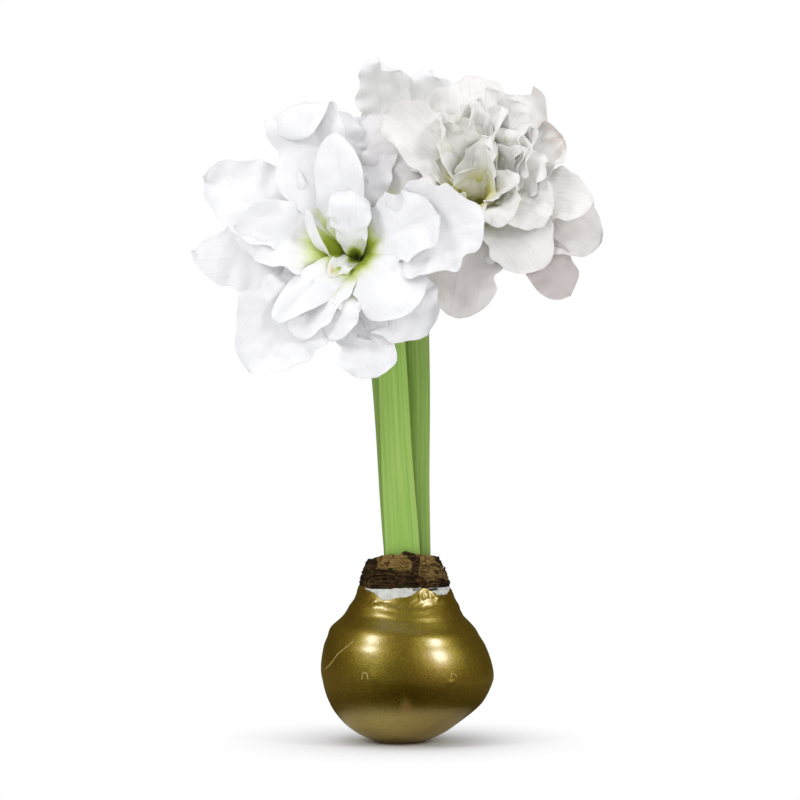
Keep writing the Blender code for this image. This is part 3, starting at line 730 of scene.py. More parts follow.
def group_mask(tree, name, vector, **values):
    """The mask of a shared group, built when it is first used."""
    makers = {"Streaks": streaks_group, "Blotches": blotches_group, "Grain": grain_group}
    group = bpy.data.node_groups.get(name) or makers[name]()
    node = tree.nodes.new("ShaderNodeGroup")
    node.node_tree = group
    tree.links.new(vector, node.inputs["Vector"])
    for label, value in values.items():
        node.inputs[label].default_value = value
    return node.outputs["Mask"]


def add_bump(tree, shader, height, distance, strength=1.0, under=None):
    """A Bump node that feeds the shader's normal, over another bump's normal if one is given."""
    inputs = {"Height": height, "Distance": distance, "Strength": strength}
    if under is not None:
        inputs["Normal"] = under
    bump = add_node(tree, "ShaderNodeBump", inputs)
    tree.links.new(bump.outputs["Normal"], shader.inputs["Normal"])
    return bump.outputs["Normal"]


def object_place(tree):
    """Object coordinates."""
    return tree.nodes.new("ShaderNodeTexCoord").outputs["Object"]


def surface_place(tree):
    """The piece's own UV map: centimetres across the surface and along it."""
    return add_node(tree, "ShaderNodeUVMap", uv_map="surface").outputs["UV"]


def attribute(tree, name):
    """A value that the piece's mesh carries."""
    return add_node(tree, "ShaderNodeAttribute", attribute_name=name).outputs["Fac"]


def petal_material(name, white, green, veined):
    """White petal with a silky sheen, cream and then green towards the throat.

    It is painted greyer as shade, browned or dusted with pollen where its mesh says so. The value veined is
    how clearly the fine veins along the petals show.
    """
    material, tree, shader = new_material(
        name,
        Roughness=0.50,
        Subsurface_Weight=0.15,
        Subsurface_Radius=(1.0, 0.95, 0.85),
        Subsurface_Scale=0.002,
        Sheen_Weight=0.15,
        Sheen_Roughness=0.4,
        Specular_IOR_Level=0.35,
    )
    place = surface_place(tree)
    veins = group_mask(tree, "Streaks", place, Across=9.0, Along=0.40, Detail=3.0, Bend=0.7)
    wide = group_mask(tree, "Streaks", place, Across=2.4, Along=0.60, Detail=2.0, Bend=0.9)
    crumple = group_mask(tree, "Blotches", place, Scale=2.2, From=0.20, To=0.85)
    cream = 0.80 * white + 0.20 * np.array([0.80, 0.82, 0.40])
    leaf = 0.35 * white + 0.65 * np.minimum(0.8, 1.4 * green)
    spread = math_node(tree, "MULTIPLY_ADD", wide, 0.20, attribute(tree, "throat"))
    steps = [(0.0, white), (0.14, white), (0.32, cream), (0.55, leaf), (0.80, green), (1.0, 0.80 * green)]
    throat = ramp(tree, spread, steps)
    faint = 1 - 0.16 * veined
    lines = ramp(tree, veins, [(0.32, faint), (0.50, 1.0), (0.62, 1.0), (0.80, 0.5 + 0.5 * faint)])
    lined = mix_colours(tree, 1.0, throat, lines, "MULTIPLY")
    # The shade value mixes a petal towards grey: painted shade for petals that lie in shadow
    painted_shade = mix_colours(tree, attribute(tree, "shade"), lined, srgb(204, 196, 192))
    worn = mix_colours(tree, attribute(tree, "worn"), painted_shade, srgb(150, 104, 66))
    dusted = mix_colours(tree, attribute(tree, "pollen"), worn, srgb(226, 186, 40))
    tree.links.new(dusted, shader.inputs["Base Color"])
    soft = add_bump(tree, shader, crumple, 0.0010, 0.35)
    pleats = add_bump(tree, shader, wide, 0.0005 + 0.0005 * veined, 0.4, soft)
    add_bump(tree, shader, veins, 0.00018 + 0.0003 * veined, 0.5, pleats)
    return material


def gold_material(settings):
    """Gold wax: metallic, with a fine glitter, browner patches and a thin glossy skin.

    The raised threads are painted pale and not metallic, a painted highlight along them, and the reddish spot
    has less gold.
    """
    gold = np.array(settings.gold)
    material, tree, shader = new_material("Gold wax", Coat_Weight=1.0, Coat_Roughness=0.27, Coat_IOR=2.25)
    place = object_place(tree)
    patches = group_mask(tree, "Blotches", place, Scale=26.0, From=0.35, To=0.75)
    grain = group_mask(tree, "Grain", place, Scale=1500.0)
    brown = gold * (0.80, 0.62, 0.36)
    facing = add_node(tree, "ShaderNodeLayerWeight", {"Blend": 0.5}).outputs["Facing"]
    turned = ramp(tree, facing, [(0.12, gold), (0.60, 0.5 * (gold + brown))])
    base = mix_colours(tree, patches, turned, brown)
    speckle = ramp(tree, grain, [(0.30, 0.55), (0.62, 1.0), (0.95, 1.45)])
    glittered = mix_colours(tree, 1.0, base, speckle, "MULTIPLY")
    spot = attribute(tree, "spot")
    thread = attribute(tree, "thread")
    spotted = mix_colours(tree, spot, glittered, srgb(150, 84, 8))
    # The threads get a pale, non-metallic colour: a painted highlight along them
    tree.links.new(mix_colours(tree, thread, spotted, srgb(188, 172, 92)), shader.inputs["Base Color"])
    # Metal is taken away on the threads for their painted highlight, and partly on the reddish spot, which is
    # its own colour
    bare = math_node(tree, "MAXIMUM", thread, math_node(tree, "MULTIPLY", spot, 0.55))
    tree.links.new(math_node(tree, "SUBTRACT", 1.0, bare), shader.inputs["Metallic"])
    uneven = rescale(tree, grain, 0.0, 1.0, settings.roughness - 0.06, settings.roughness + 0.10)
    tree.links.new(uneven, shader.inputs["Roughness"])
    folds = group_mask(tree, "Streaks", place, Across=90.0, Along=90.0, Detail=5.0)
    soft = add_bump(tree, shader, folds, 0.0009, 0.30)
    add_bump(tree, shader, grain, 0.00016, 0.70, soft)
    return material


def pale_wax_material(settings):
    """Bare wax: matte and pale grey, with cloudy marks and a grainy surface."""
    pale = np.array(settings.pale)
    material, tree, shader = new_material(
        "Bare wax", Roughness=0.55, Subsurface_Weight=0.25, Subsurface_Scale=0.0015, Specular_IOR_Level=0.4
    )
    place = object_place(tree)
    clouds = group_mask(tree, "Blotches", place, Scale=240.0, From=0.35, To=0.70)
    stains = group_mask(tree, "Blotches", place, Scale=420.0, From=0.60, To=0.70)
    flecks = group_mask(tree, "Blotches", place, Scale=1100.0, From=0.60, To=0.66)
    clouded = mix_colours(tree, clouds, pale, 0.74 * pale)
    stained = mix_colours(tree, stains, clouded, srgb(112, 90, 62))
    tree.links.new(mix_colours(tree, flecks, stained, srgb(196, 160, 78)), shader.inputs["Base Color"])
    grain = group_mask(tree, "Grain", place, Scale=900.0)
    add_bump(tree, shader, grain, 0.0005, 0.5)
    return material


def skin_material(settings):
    """Dry skin: dark brown, and papery tan where its mesh says so, with fibres round the neck."""
    dark, light = np.array(settings.dark), np.array(settings.light)
    middle = 0.70 * dark + 0.16 * light
    shaded = 0.50 * light
    ruddy = srgb(132, 92, 66)
    pale = np.minimum(1.0, 1.35 * light)
    material, tree, shader = new_material("Dry skin", Roughness=0.70, Specular_IOR_Level=0.12)
    place = surface_place(tree)
    fibres = group_mask(tree, "Streaks", place, Across=1.8, Along=10.0, Detail=7.0, Bend=1.8)
    creases = group_mask(tree, "Streaks", place, Across=4.0, Along=8.0, Detail=5.0, Bend=2.4)
    blots = group_mask(tree, "Blotches", place, Scale=3.4, From=0.54, To=0.62)
    brown = ramp(tree, fibres, [(0.44, dark), (0.55, middle), (0.64, shaded), (0.76, ruddy)])
    tan = ramp(tree, fibres, [(0.24, middle), (0.38, shaded), (0.53, light), (0.76, pale)])
    spread = math_node(tree, "MULTIPLY_ADD", creases, 0.5, attribute(tree, "tan"))
    share = ramp(tree, spread, [(0.45, 0.0), (0.70, 1.0)])
    paper = mix_colours(tree, share, brown, tan)
    tree.links.new(mix_colours(tree, blots, paper, srgb(74, 40, 24)), shader.inputs["Base Color"])
    soft = add_bump(tree, shader, creases, 0.0010, 0.7)
    add_bump(tree, shader, fibres, 0.0008, 0.9, soft)
    return material


def stem_material(settings, name, shade_factor):
    """Green stem: lighter and yellower streaks along it, a waxy gloss, and paler towards the bloom."""
    # The whole stem's green is darkened by its factor: painted shade for stems that stand in shadow
    green = shade_factor * np.array(settings.green)
    material, tree, shader = new_material(
        name,
        Roughness=0.42,
        Subsurface_Weight=0.10,
        Subsurface_Radius=(0.6, 1.0, 0.3),
        Subsurface_Scale=0.002,
        Specular_IOR_Level=0.4,
    )
    place = surface_place(tree)
    streaks = group_mask(tree, "Streaks", place, Across=5.0, Along=0.12, Detail=4.0)
    broad = group_mask(tree, "Streaks", place, Across=1.1, Along=0.05, Detail=1.0)
    dark = green * (0.62, 0.76, 0.55)
    light = np.minimum(1.0, green * (1.32, 1.14, 1.55))
    lines = ramp(tree, streaks, [(0.30, dark), (0.50, green), (0.72, light)])
    bands = ramp(tree, broad, [(0.35, dark), (0.55, green), (0.70, light)])
    mixed = mix_colours(tree, 0.45, lines, bands)
    pale = 0.5 * green + 0.5 * srgb(196, 212, 130)
    tree.links.new(mix_colours(tree, attribute(tree, "pale"), mixed, pale), shader.inputs["Base Color"])
    soft = add_bump(tree, shader, broad, 0.0006, 0.4)
    add_bump(tree, shader, streaks, 0.0003, 0.5, soft)
    return material


def bract_material():
    """Papery bract: greenish tan, dry, with dense fine veins and browner blots."""
    material, tree, shader = new_material("Papery bract", Roughness=0.62, Specular_IOR_Level=0.3)
    place = surface_place(tree)
    veins = group_mask(tree, "Streaks", place, Across=14.0, Along=0.8, Detail=4.0)
    blots = group_mask(tree, "Blotches", place, Scale=1.6, From=0.48, To=0.66)
    steps = [(0.30, srgb(120, 104, 58)), (0.52, srgb(176, 166, 106)), (0.72, srgb(206, 196, 150))]
    lines = ramp(tree, veins, steps)
    tree.links.new(mix_colours(tree, blots, lines, srgb(140, 98, 58)), shader.inputs["Base Color"])
    add_bump(tree, shader, veins, 0.0004, 0.7)
    return material


def flesh_material():
    """Bulb flesh: pale layers in rings round the axis, browner in their joints."""
    material, tree, shader = new_material("Bulb flesh", Roughness=0.55, Specular_IOR_Level=0.35)
    place = object_place(tree)
    rings = add_node(
        tree,
        "ShaderNodeTexWave",
        {"Vector": place, "Scale": 190.0, "Distortion": 3.0, "Detail": 3.0},
        wave_type="RINGS",
        rings_direction="Z",
    ).outputs["Fac"]
    marks = group_mask(tree, "Blotches", place, Scale=150.0, From=0.40, To=0.70)
    steps = [(0.0, srgb(84, 60, 34)), (0.35, srgb(150, 128, 84)), (1.0, srgb(186, 172, 122))]
    layers = ramp(tree, rings, steps)
    tree.links.new(mix_colours(tree, marks, layers, srgb(110, 84, 50)), shader.inputs["Base Color"])
    add_bump(tree, shader, rings, 0.0006, 0.6)
    return material


# The bulb's surfaces


def silhouette_curve(inset):
    """The silhouette as a smooth curve through its stations, moved inwards by inset along its normals."""
    stations = np.array(SILHOUETTE)
    ends = 2 * stations[[0, -1]] - stations[[1, -2]]
    knots = np.vstack([ends[:1], stations, ends[1:]])
    step = np.linspace(0, 1, 16, endpoint=False)[:, None]
    runs = []
    for before, start, end, after in zip(knots[:-3], knots[1:-2], knots[2:-1], knots[3:]):
        runs.append(
            start
            + step * (end - before) / 2
            + step**2 * (before - 2.5 * start + 2 * end - after / 2)
            + step**3 * (1.5 * (start - end) + (after - before) / 2)
        )
    curve = np.vstack([*runs, stations[-1:]])
    height, radius = curve.T
    along = unit(np.gradient(curve, axis=0))
    return radius - inset * along[:, 0], height + inset * along[:, 1]


def bulb_point(angle, height, inset, raised=0.0):
    """Points round the bulb: its radius less inset plus raised, its shallow lumps and its leaning axis."""
    radii, heights = silhouette_curve(0.0)
    radius = np.interp(height, heights, radii) - inset
    turned = angle - math.pi / 2
    lumps = 0.010 * np.sin(2 * turned + 0.9) + 0.006 * np.sin(3 * turned + 55 * height)
    radius = radius * (1 + lumps * smooth_step(height, 0.004, 0.030)) + raised
    shift = np.interp(height, *np.array(LEAN).T)
    return np.stack([radius * np.sin(angle) + shift, -radius * np.cos(angle), height], axis=-1)


def wax_relief(angle, height):
    """How far the wax stands out: ripples round the shoulder, a crinkled neck, and dents and bumps.

    The ripples are sine waves up the coat, bent by waves round it, and the crinkles are random waves. Each
    dent or bump is a Gaussian of the distance from its place. Near the bare wax nothing is dented deeply.
    """
    ripple = np.sin(2 * math.pi * (height - 0.0600) / RIPPLE[1] + 0.8 * np.sin(2 * angle + 0.5))
    ripple = ripple * between(height, 0.052, 0.064, 0.080, 0.086)
    ripple = ripple * (0.7 + 0.5 * rough(11, angle, height, 2, 7, 6, 10))
    fine = 2 * math.pi * height / FINE_RIPPLE[1] + 1.6 * np.sin(2 * angle) + 0.8 * np.sin(5 * angle + 1)
    fine = np.sin(fine) * between(height, 0.065, 0.071, 0.079, 0.083)
    relief = RIPPLE[0] * ripple + FINE_RIPPLE[0] * fine * (0.8 + 0.8 * np.sin(3 * angle + 2))
    relief = relief + 0.0004 * rough(5, angle, height, 2, 9, 10, 25)
    relief = relief + 0.0004 * smooth_step(height, 0.072, 0.080) * rough(8, angle, height, 6, 40, 22, 160)
    crinkles = np.abs(rough(9, angle, height, 9, 60, 26, 220))
    relief = relief + 0.0012 * smooth_step(height, 0.075, 0.082) * crinkles
    for degrees, level, wide, tall, out in WAX_HUMPS:
        away = (np.degrees(angle) - degrees + 180) % 360 - 180
        relief = relief + out * np.exp(-((away / wide) ** 2) - ((height - level) / tall) ** 2)
    deepest = -0.0001 - 0.0020 * (1 - smooth_step(height, 0.075, PALE_FOOT))
    return np.maximum(relief, deepest)


def wax_thread(places):
    """A thin raised thread of wax: a tube along a smoothed path of (degrees, height) on the coat."""
    knots = np.array(places)
    share = np.linspace(0, len(knots) - 1, 14 * len(knots))
    degrees, height = (np.interp(share, np.arange(len(knots)), values) for values in knots.T)
    for _ in range(12):
        degrees[1:-1] = (degrees[:-2] + 2 * degrees[1:-1] + degrees[2:]) / 4
        height[1:-1] = (height[:-2] + 2 * height[1:-1] + height[2:]) / 4
    turn = np.radians(degrees)
    path = bulb_point(turn, height, 0.0, wax_relief(turn, height) + THREAD_RADIUS / 2)
    out = np.stack([np.sin(turn), -np.cos(turn), 0 * turn], axis=-1)
    taper = np.sqrt(np.clip(1 - np.linspace(-0.97, 0.97, len(path)) ** 8, 0.02, 1))
    return tube_mesh(path, out, full_turn(THREAD_SIDES), THREAD_RADIUS * taper[:, None])


def coat_surface():
    """The coat: up its outer wall from the foot to the torn edge, over the edge and down its inner wall."""
    angle = full_turn(COAT_SIDES)[None, :]
    foot_rows, rows = COAT_ROWS
    level = np.append(np.linspace(0, 0.006, foot_rows), np.linspace(0.0065, COAT_TOP, rows))[:, None]
    edge = torn(GOLD_EDGE, (angle + math.pi) % (2 * math.pi) - math.pi, 3, 0.0011)
    height = level + (edge - COAT_TOP) * smooth_step(level, 0.072, COAT_TOP)
    outer = bulb_point(angle, height, 0.0, wax_relief(angle, height) * smooth_step(height, 0.001, 0.01))
    over = np.array([0.00015, 0.00045, 0.00075])[:, None]
    crest = bulb_point(angle, edge + np.array([0.00018, 0.00022, 0.0001])[:, None], over)
    height = height[::-6]
    wall = WAX_WALL + WAX_WALL_BELOW * (1 - smooth_step(height, 0.070, 0.077))
    inner = bulb_point(angle, height, wall)
    inner[..., 2] = np.maximum(inner[..., 2], 0.002)
    return np.concatenate([outer, crest, inner])


def band_grid(low, edge, seed, reach):
    """Angles, heights and shares of a band's wall, from the height low up to a torn edge."""
    rows, sides = BAND_GRID
    angle = np.linspace(-math.pi, math.pi, sides, endpoint=False)[None, :]
    share = np.linspace(0, 1, rows)[:, None]
    height = low + (torn(edge, angle, seed, reach) - low) * share
    return np.broadcast_arrays(angle, height, share)


def band_mesh(angle, height, depth, wall):
    """A closed band round the neck: up its outer wall, depth inside the silhouette, and back down inside."""
    outer = bulb_point(angle, height, depth)
    inner = bulb_point(angle, height, depth + wall)[::-1]
    return rings_mesh(np.concatenate([outer, inner]), closed=True)


def skin_depth(angle, height, share, seed):
    """How far a dry skin lies inside the silhouette: ridges round the neck, folds up it and a curling lip.

    Sharper wrinkles run round the neck at an even spacing, bent up and down by random waves.
    """
    ridges = rough(seed, angle, 5 * height, 1, 7, 12, 160)
    folds = rough(seed + 2, angle, height, 6, 45, 24, 50)
    bent = height + 0.0040 * rough(seed + 6, angle, height, 1, 9, 10, 20)
    wrinkles = np.abs(np.sin(math.pi * bent / WRINKLE_SPACING))
    ridges = ridges + 0.32 * wrinkles * (1 + rough(seed + 8, angle, height, 2, 14, 10, 60))
    lip = 0.0011 * smooth_step(share, 0.80, 1.0) * (0.4 + rough(seed + 4, angle, 0.0, 2, 16, 10))
    tucked = 0.0012 * (1 - smooth_step(height, 0.0855, 0.0895))
    return tucked + lip - (0.0011 * ridges + 0.0006 * folds) * smooth_step(share, 0.1, 0.4)


def tan_share(angle, height):
    """Where a dry skin is papery and tan: its patches with ragged borders, and faint marks between them."""
    degrees = np.degrees(angle) + 16 * rough(53, angle, height, 3, 30, 14, 60)
    level = height + 0.0030 * rough(57, angle, height, 3, 40, 18, 30)
    share = 0.30 * rough(51, angle, height, 3, 34, 20, 150)
    for left, right, low, high, strength in TAN_PATCHES:
        round_neck = between(degrees, left - 3, left + 3, right - 3, right + 3)
        up_neck = between(level, low - 0.0005, low + 0.0005, high - 0.0005, high)
        share = share + strength * round_neck * up_neck
    return np.clip(share, 0, 1)


def surface_map(angle, height):
    """Centimetres round and up a band, for patterns that follow the surface."""
    return np.stack([angle * 2.2, height * 100], axis=-1).reshape(-1, 2)


# Petals


def half_width(along, side, petal):
    """Half of a petal's width along it: a narrow claw, a swell to the widest place and a rounded taper."""
    swell = np.sin(math.pi / 2 * np.clip(along / petal.widest, 0, 1)) ** 1.5
    past = np.clip((along - petal.widest) / (1 - petal.widest), 0, 1)
    taper = np.sqrt(1 - past**petal.blunt)
    shape = np.where(along < petal.widest, CLAW_SHARE + (1 - CLAW_SHARE) * swell, taper)
    phase = math.radians(petal.azimuth * 5)
    wobble = np.sin(9 * along + phase + 2 * side) + 0.7 * np.sin(17 * along - phase + 3 * side)
    frill = np.sin(31 * along + 2 * phase - side) + 0.8 * np.sin(47 * along - 3 * phase + 2 * side)
    edge = smooth_step(along, 0.25, 0.5)
    shape = shape * (1 + edge * (0.075 * wobble + 11 * petal.ruffle * frill))
    shape = shape * (1 + petal.skew * side * smooth_step(along, 0.1, 0.5))
    return np.maximum(shape * petal.width, PETAL_TIP_WIDTH) / 2


def midrib(along, petal, start):
    """Distance from the axis, height and lean of the midrib: the running sum of small leaning steps."""
    share = np.linspace(0, 1, 201)
    flare = share * max(1.0, petal.length / FLARE_LENGTH)
    lean = np.radians(
        PETAL_START_LEAN
        + (petal.throat - PETAL_START_LEAN) * smooth_step(flare, 0.0, 0.32)
        + (petal.blade - petal.throat) * smooth_step(flare, 0.22, 0.68)
        + (petal.tip - petal.blade) * smooth_step(share, petal.bend, petal.settle)
    )
    step = petal.length / (len(share) - 1)
    out = start + np.concatenate([[0], np.cumsum(np.sin(lean)[:-1] * step)])
    up = np.concatenate([[0], np.cumsum(np.cos(lean)[:-1] * step)])
    return tuple(np.interp(along, share, values) for values in (out, up, lean))


def fine_relief(along, across, half, petal, crinkle):
    """How far the fine folds lift a petal: a groove along the midrib, slow swells, crumpling and wavy edges.

    Each petal draws its own waves. Those of the edges run along it and grow towards the edge, and those of
    the crumpling cross it in every direction; shorter waves are lower.
    """
    phase = math.radians(petal.azimuth * 3)
    turn = 2 * math.pi * along
    on_blade = smooth_step(along, 0.2, 0.6)
    groove = -0.0007 * np.exp(-((across * half / 0.0016) ** 2)) * (1 - smooth_step(along, 0.75, 0.98))
    swells = 0.0009 * np.sin(0.9 * turn + 2.2 * across + phase)
    swells = swells + 0.0006 * np.sin(2.1 * turn - 3.4 * across - phase)

    numbers = np.random.default_rng(int(1000 * petal.length + 10 * petal.azimuth) % 9973)
    edge = np.zeros_like(along)
    for side in (-1, 1):
        counts = petal.waves * numbers.uniform(1.3, 5.5, 6)
        shifts = numbers.uniform(0, 2 * math.pi, 6)
        steep = numbers.uniform(2.0, 3.6, 6)
        margin = np.clip(side * across, 0, 1)[..., None] ** steep
        edge = edge + (margin * np.sin(turn[..., None] * counts + shifts) / counts).sum(axis=-1)
    spans = numbers.uniform(0.006, 0.017, 9)
    headings = numbers.uniform(0, math.pi, 9)
    shifts = numbers.uniform(0, 2 * math.pi, 9)
    reach = along[..., None] * petal.length * np.cos(headings) + (across * half)[..., None] * np.sin(headings)
    crumple = (spans * np.sin(2 * math.pi * reach / spans + shifts)).sum(axis=-1)
    folds = crinkle * (1.7 * petal.ruffle * edge + (0.004 + 2.8 * petal.ruffle) * crumple)
    return on_blade * (folds + groove + swells)


def petal_surface(along, across, petal, start, crinkle):
    """A petal's middle surface in its bloom's own frame, whose axis is Z, as a grid of points.

    Across the midrib lies an arc, which follows the tube's round at the foot and the petal's own cup further
    out. Waves that grow towards the edges, fine folds, a twist and a sideways sway are added.
    """
    out, up, lean = midrib(along, petal, start)
    half = half_width(along, np.sign(across), petal)
    on_blade = smooth_step(along, 0.06, 0.45)
    bend = (1 - on_blade) / np.maximum(out, 1e-4) + on_blade * math.radians(petal.cup) / (petal.width / 2)
    bend = np.where(np.abs(bend) < 1e-3, 1e-3, bend)
    side = np.sin(bend * across * half) / bend
    rise = (1 - np.cos(bend * across * half)) / bend
    phase = math.radians(petal.azimuth * 2)
    wave = np.sin(2 * math.pi * petal.waves * along + phase + 1.7 * np.sign(across))
    rise = rise + petal.ruffle * np.abs(across) ** 1.6 * smooth_step(along, 0.25, 0.8) * wave
    rise = rise + fine_relief(along, across, half, petal, crinkle)

    turn = math.radians(petal.twist) * smooth_step(along, 0.2, 1.0)
    side, rise = side * np.cos(turn) - rise * np.sin(turn), side * np.sin(turn) + rise * np.cos(turn)
    side = side + math.tan(math.radians(petal.sway)) * petal.length * along**2 / 2

    outward, upward = out - rise * np.cos(lean), up + rise * np.sin(lean)
    azimuth = math.radians(petal.azimuth)
    x = outward * math.cos(azimuth) - side * math.sin(azimuth)
    y = outward * math.sin(azimuth) + side * math.cos(azimuth)
    return np.stack([x, y, upward], axis=-1), half


def petal_mesh(petal, start, settings):
    """A petal as a closed sheet that thins towards its edges, with its values for the material."""
    rows, columns = LONG_GRID if petal.length > SHORT_PETAL else SHORT_GRID
    along = np.linspace(0, 1, rows)[:, None] ** 0.9
    across = np.sin(np.linspace(-1, 1, columns) * math.pi / 2 * 0.94)[None, :]
    across = across / np.abs(across).max()
    along, across = np.broadcast_arrays(along, across)
    middle, half = petal_surface(along, across, petal, start, settings.crinkle)
    thin = 1 - 0.6 * np.abs(across) ** 3 * smooth_step(along, 0.1, 0.4) - 0.25 * smooth_step(along, 0.8, 1)
    points, faces = sheet_mesh(middle, grid_normals(middle), settings.thickness * thin)
    distance = along * petal.length
    throat = 1 - smooth_step(distance + 0.004 * np.abs(across), 0.014, petal.green + 0.012)
    throat = throat + 0.12 * np.exp(-((across * half / 0.003) ** 2)) * (1 - smooth_step(along, 0.35, 0.75))
    ragged = along + 0.06 * np.sin(9 * across) + 0.03 * np.sin(31 * across)
    browned = petal.worn * smooth_step(ragged, 0.86, 0.97)
    dust = petal.pollen * np.exp(-(((along - 0.88) / 0.05) ** 2) - (across / 0.6) ** 2)
    place = np.stack([across * half * 100 + petal.azimuth, distance * 100], axis=-1).reshape(-1, 2)
    # The shade share is a painted shade, even over the whole petal
    shares = (("throat", throat), ("shade", petal.shade + 0 * along), ("worn", browned), ("pollen", dust))
    values = {name: np.tile(np.clip(share, 0, 1).ravel(), 2) for name, share in shares}
    values["uv"] = np.vstack([place, place])
    return points, faces, values


def funnel_mesh():
    """The short funnel that the petals grow from: its profile turned round the axis, with six soft lobes."""
    angle = full_turn(FUNNEL_SIDES)[None, :]
    radius, height = (np.array(values)[:, None] for values in zip(*FUNNEL))
    radius = radius * (1 + 0.05 * smooth_step(height, 0.002, 0.014) * np.cos(6 * angle))
    x, y = radius * np.cos(angle), radius * np.sin(angle)
    points, faces = rings_mesh(np.stack(np.broadcast_arrays(x, y, height), axis=-1))
    values = {name: np.zeros(len(points)) for name in ("shade", "worn", "pollen")}
    values["throat"] = np.clip(1.0 - points[:, 2] / 0.05, 0, 1)
    values["uv"] = np.stack([np.arctan2(points[:, 1], points[:, 0]), points[:, 2] * 100], axis=-1)
    return points, faces, values


def bloom_frame(bloom):
    """The bloom's three axes as rows: its right, its up and the way that it faces."""
    out = Vector(bloom.faces).normalized()
    right = Vector((0, 0, 1)).cross(out).normalized()
    return np.array([right, out.cross(right), out])


def bloom_mesh(bloom, settings):
    """All the petals of a bloom and its funnel, in place."""
    starts = [PETAL_START_RADIUS * petal.throat / PETAL_START_THROAT for petal in bloom.petals]
    parts = [petal_mesh(petal, start, settings) for petal, start in zip(bloom.petals, starts)]
    points, faces, values = join_meshes([*parts, funnel_mesh()])
    return points @ bloom_frame(bloom) + bloom.foot, faces, values


# Stems


def stem_section(stem, height):
    """Centres and half-axes of a stem's oval at the given heights."""
    share = np.clip((height - STEM_NECK) / (stem.top_height - STEM_NECK), 0, 1)[:, None]
    centre = (1 - share) * stem.neck_centre + share * stem.top_centre
    half = (1 - share) * stem.neck_half + share * stem.top_half
    return centre, half


def ribbed(angle, seed, size, ribs):
    """A rib factor round a stem: shallow waves of uneven width, as a share of the stem's size."""
    return 1 + ribs / size * (np.sin(11 * angle + seed) + 0.8 * np.sin(17 * angle + 2.1 * seed))


def stem_bar(stem, seed, ribs):
    """The stem's bar: an oval carried up along the stem, with ribs and a domed end."""
    angle = full_turn(STEM_SIDES)
    rows, dome_rows = STEM_ROWS
    rounded = stem.top_height - STEM_DOME * (1 - np.linspace(0.15, 0.99, dome_rows))
    height = np.append(np.linspace(STEM_FOOT, stem.top_height - STEM_DOME, rows), rounded)
    centre, half = stem_section(stem, height)
    up_dome = np.clip((height - stem.top_height + STEM_DOME) / STEM_DOME, 0, 1)
    dome = np.maximum(np.sqrt(np.clip(1 - up_dome**2.4, 0, 1)), 0.05)
    rib = ribbed(angle, seed, 0.008, ribs)[None, :]
    swing = 0.00025 * np.sin(60 * height + seed)
    x = centre[:, :1] + swing[:, None] + half[:, :1] * dome[:, None] * rib * np.cos(angle)
    y = centre[:, 1:] + half[:, 1:] * dome[:, None] * rib * np.sin(angle)
    points, faces = rings_mesh(np.stack(np.broadcast_arrays(x, y, height[:, None]), axis=-1))
    pale = smooth_step(points[:, 2], 0.20, 0.26)
    turn = np.append(np.tile(angle, len(height)), [0, 0])
    return points, faces, {"pale": pale, "uv": np.stack([turn * 0.8, points[:, 2] * 100], axis=-1)}


def stalk_tube(stem, bloom, seed, ribs):
    """The stalk and ovary: a circle carried along a cubic Bezier curve from the stem to the bloom's foot.

    The circle swells at the ovary, and three low lobes run along it there.
    """
    out = np.array(Vector(bloom.faces).normalized())
    start = np.array([*stem.top_centre, stem.top_height - STEM_DOME])
    joint = np.array(bloom.foot) - out * STALK_STRAIGHT_END
    handles = np.array([start, start + [0, 0, STALK_RISE], joint - out * STALK_REACH, joint])
    rows, sides = STALK_GRID
    share = np.linspace(0, 1, rows)[:, None]
    rest = 1 - share
    weights = np.hstack([rest**3, 3 * share * rest**2, 3 * share**2 * rest, share**3])
    path = np.vstack([weights @ handles, joint + out * STALK_STRAIGHT_END * np.array([[0.5], [1.02]])])
    run = np.append(share.ravel(), [1.05, 1.1])
    swell = np.exp(-(((run - OVARY_PLACE) / OVARY_SPREAD) ** 2))
    radius = STALK_RADIUS + OVARY_SWELL * swell
    angle = full_turn(sides)
    rib = ribbed(angle, seed, STALK_RADIUS, ribs * 0.6)[None, :]
    lobed = rib * (1 + 0.05 * swell[:, None] * np.cos(3 * angle))
    points, faces = tube_mesh(path, np.cross(start - joint, out), angle, radius[:, None] * lobed)
    pale = np.append(np.repeat(0.35 + 0.65 * smooth_step(run, 0.3, 1.0), len(angle)), [0.35, 1.0])
    turn = np.append(np.tile(angle, len(run)), [0, 0])
    length = np.append(np.repeat(run * 5, len(angle)), [0, 5])
    return points, faces, {"pale": pale, "uv": np.stack([turn * 0.5, length], axis=-1)}


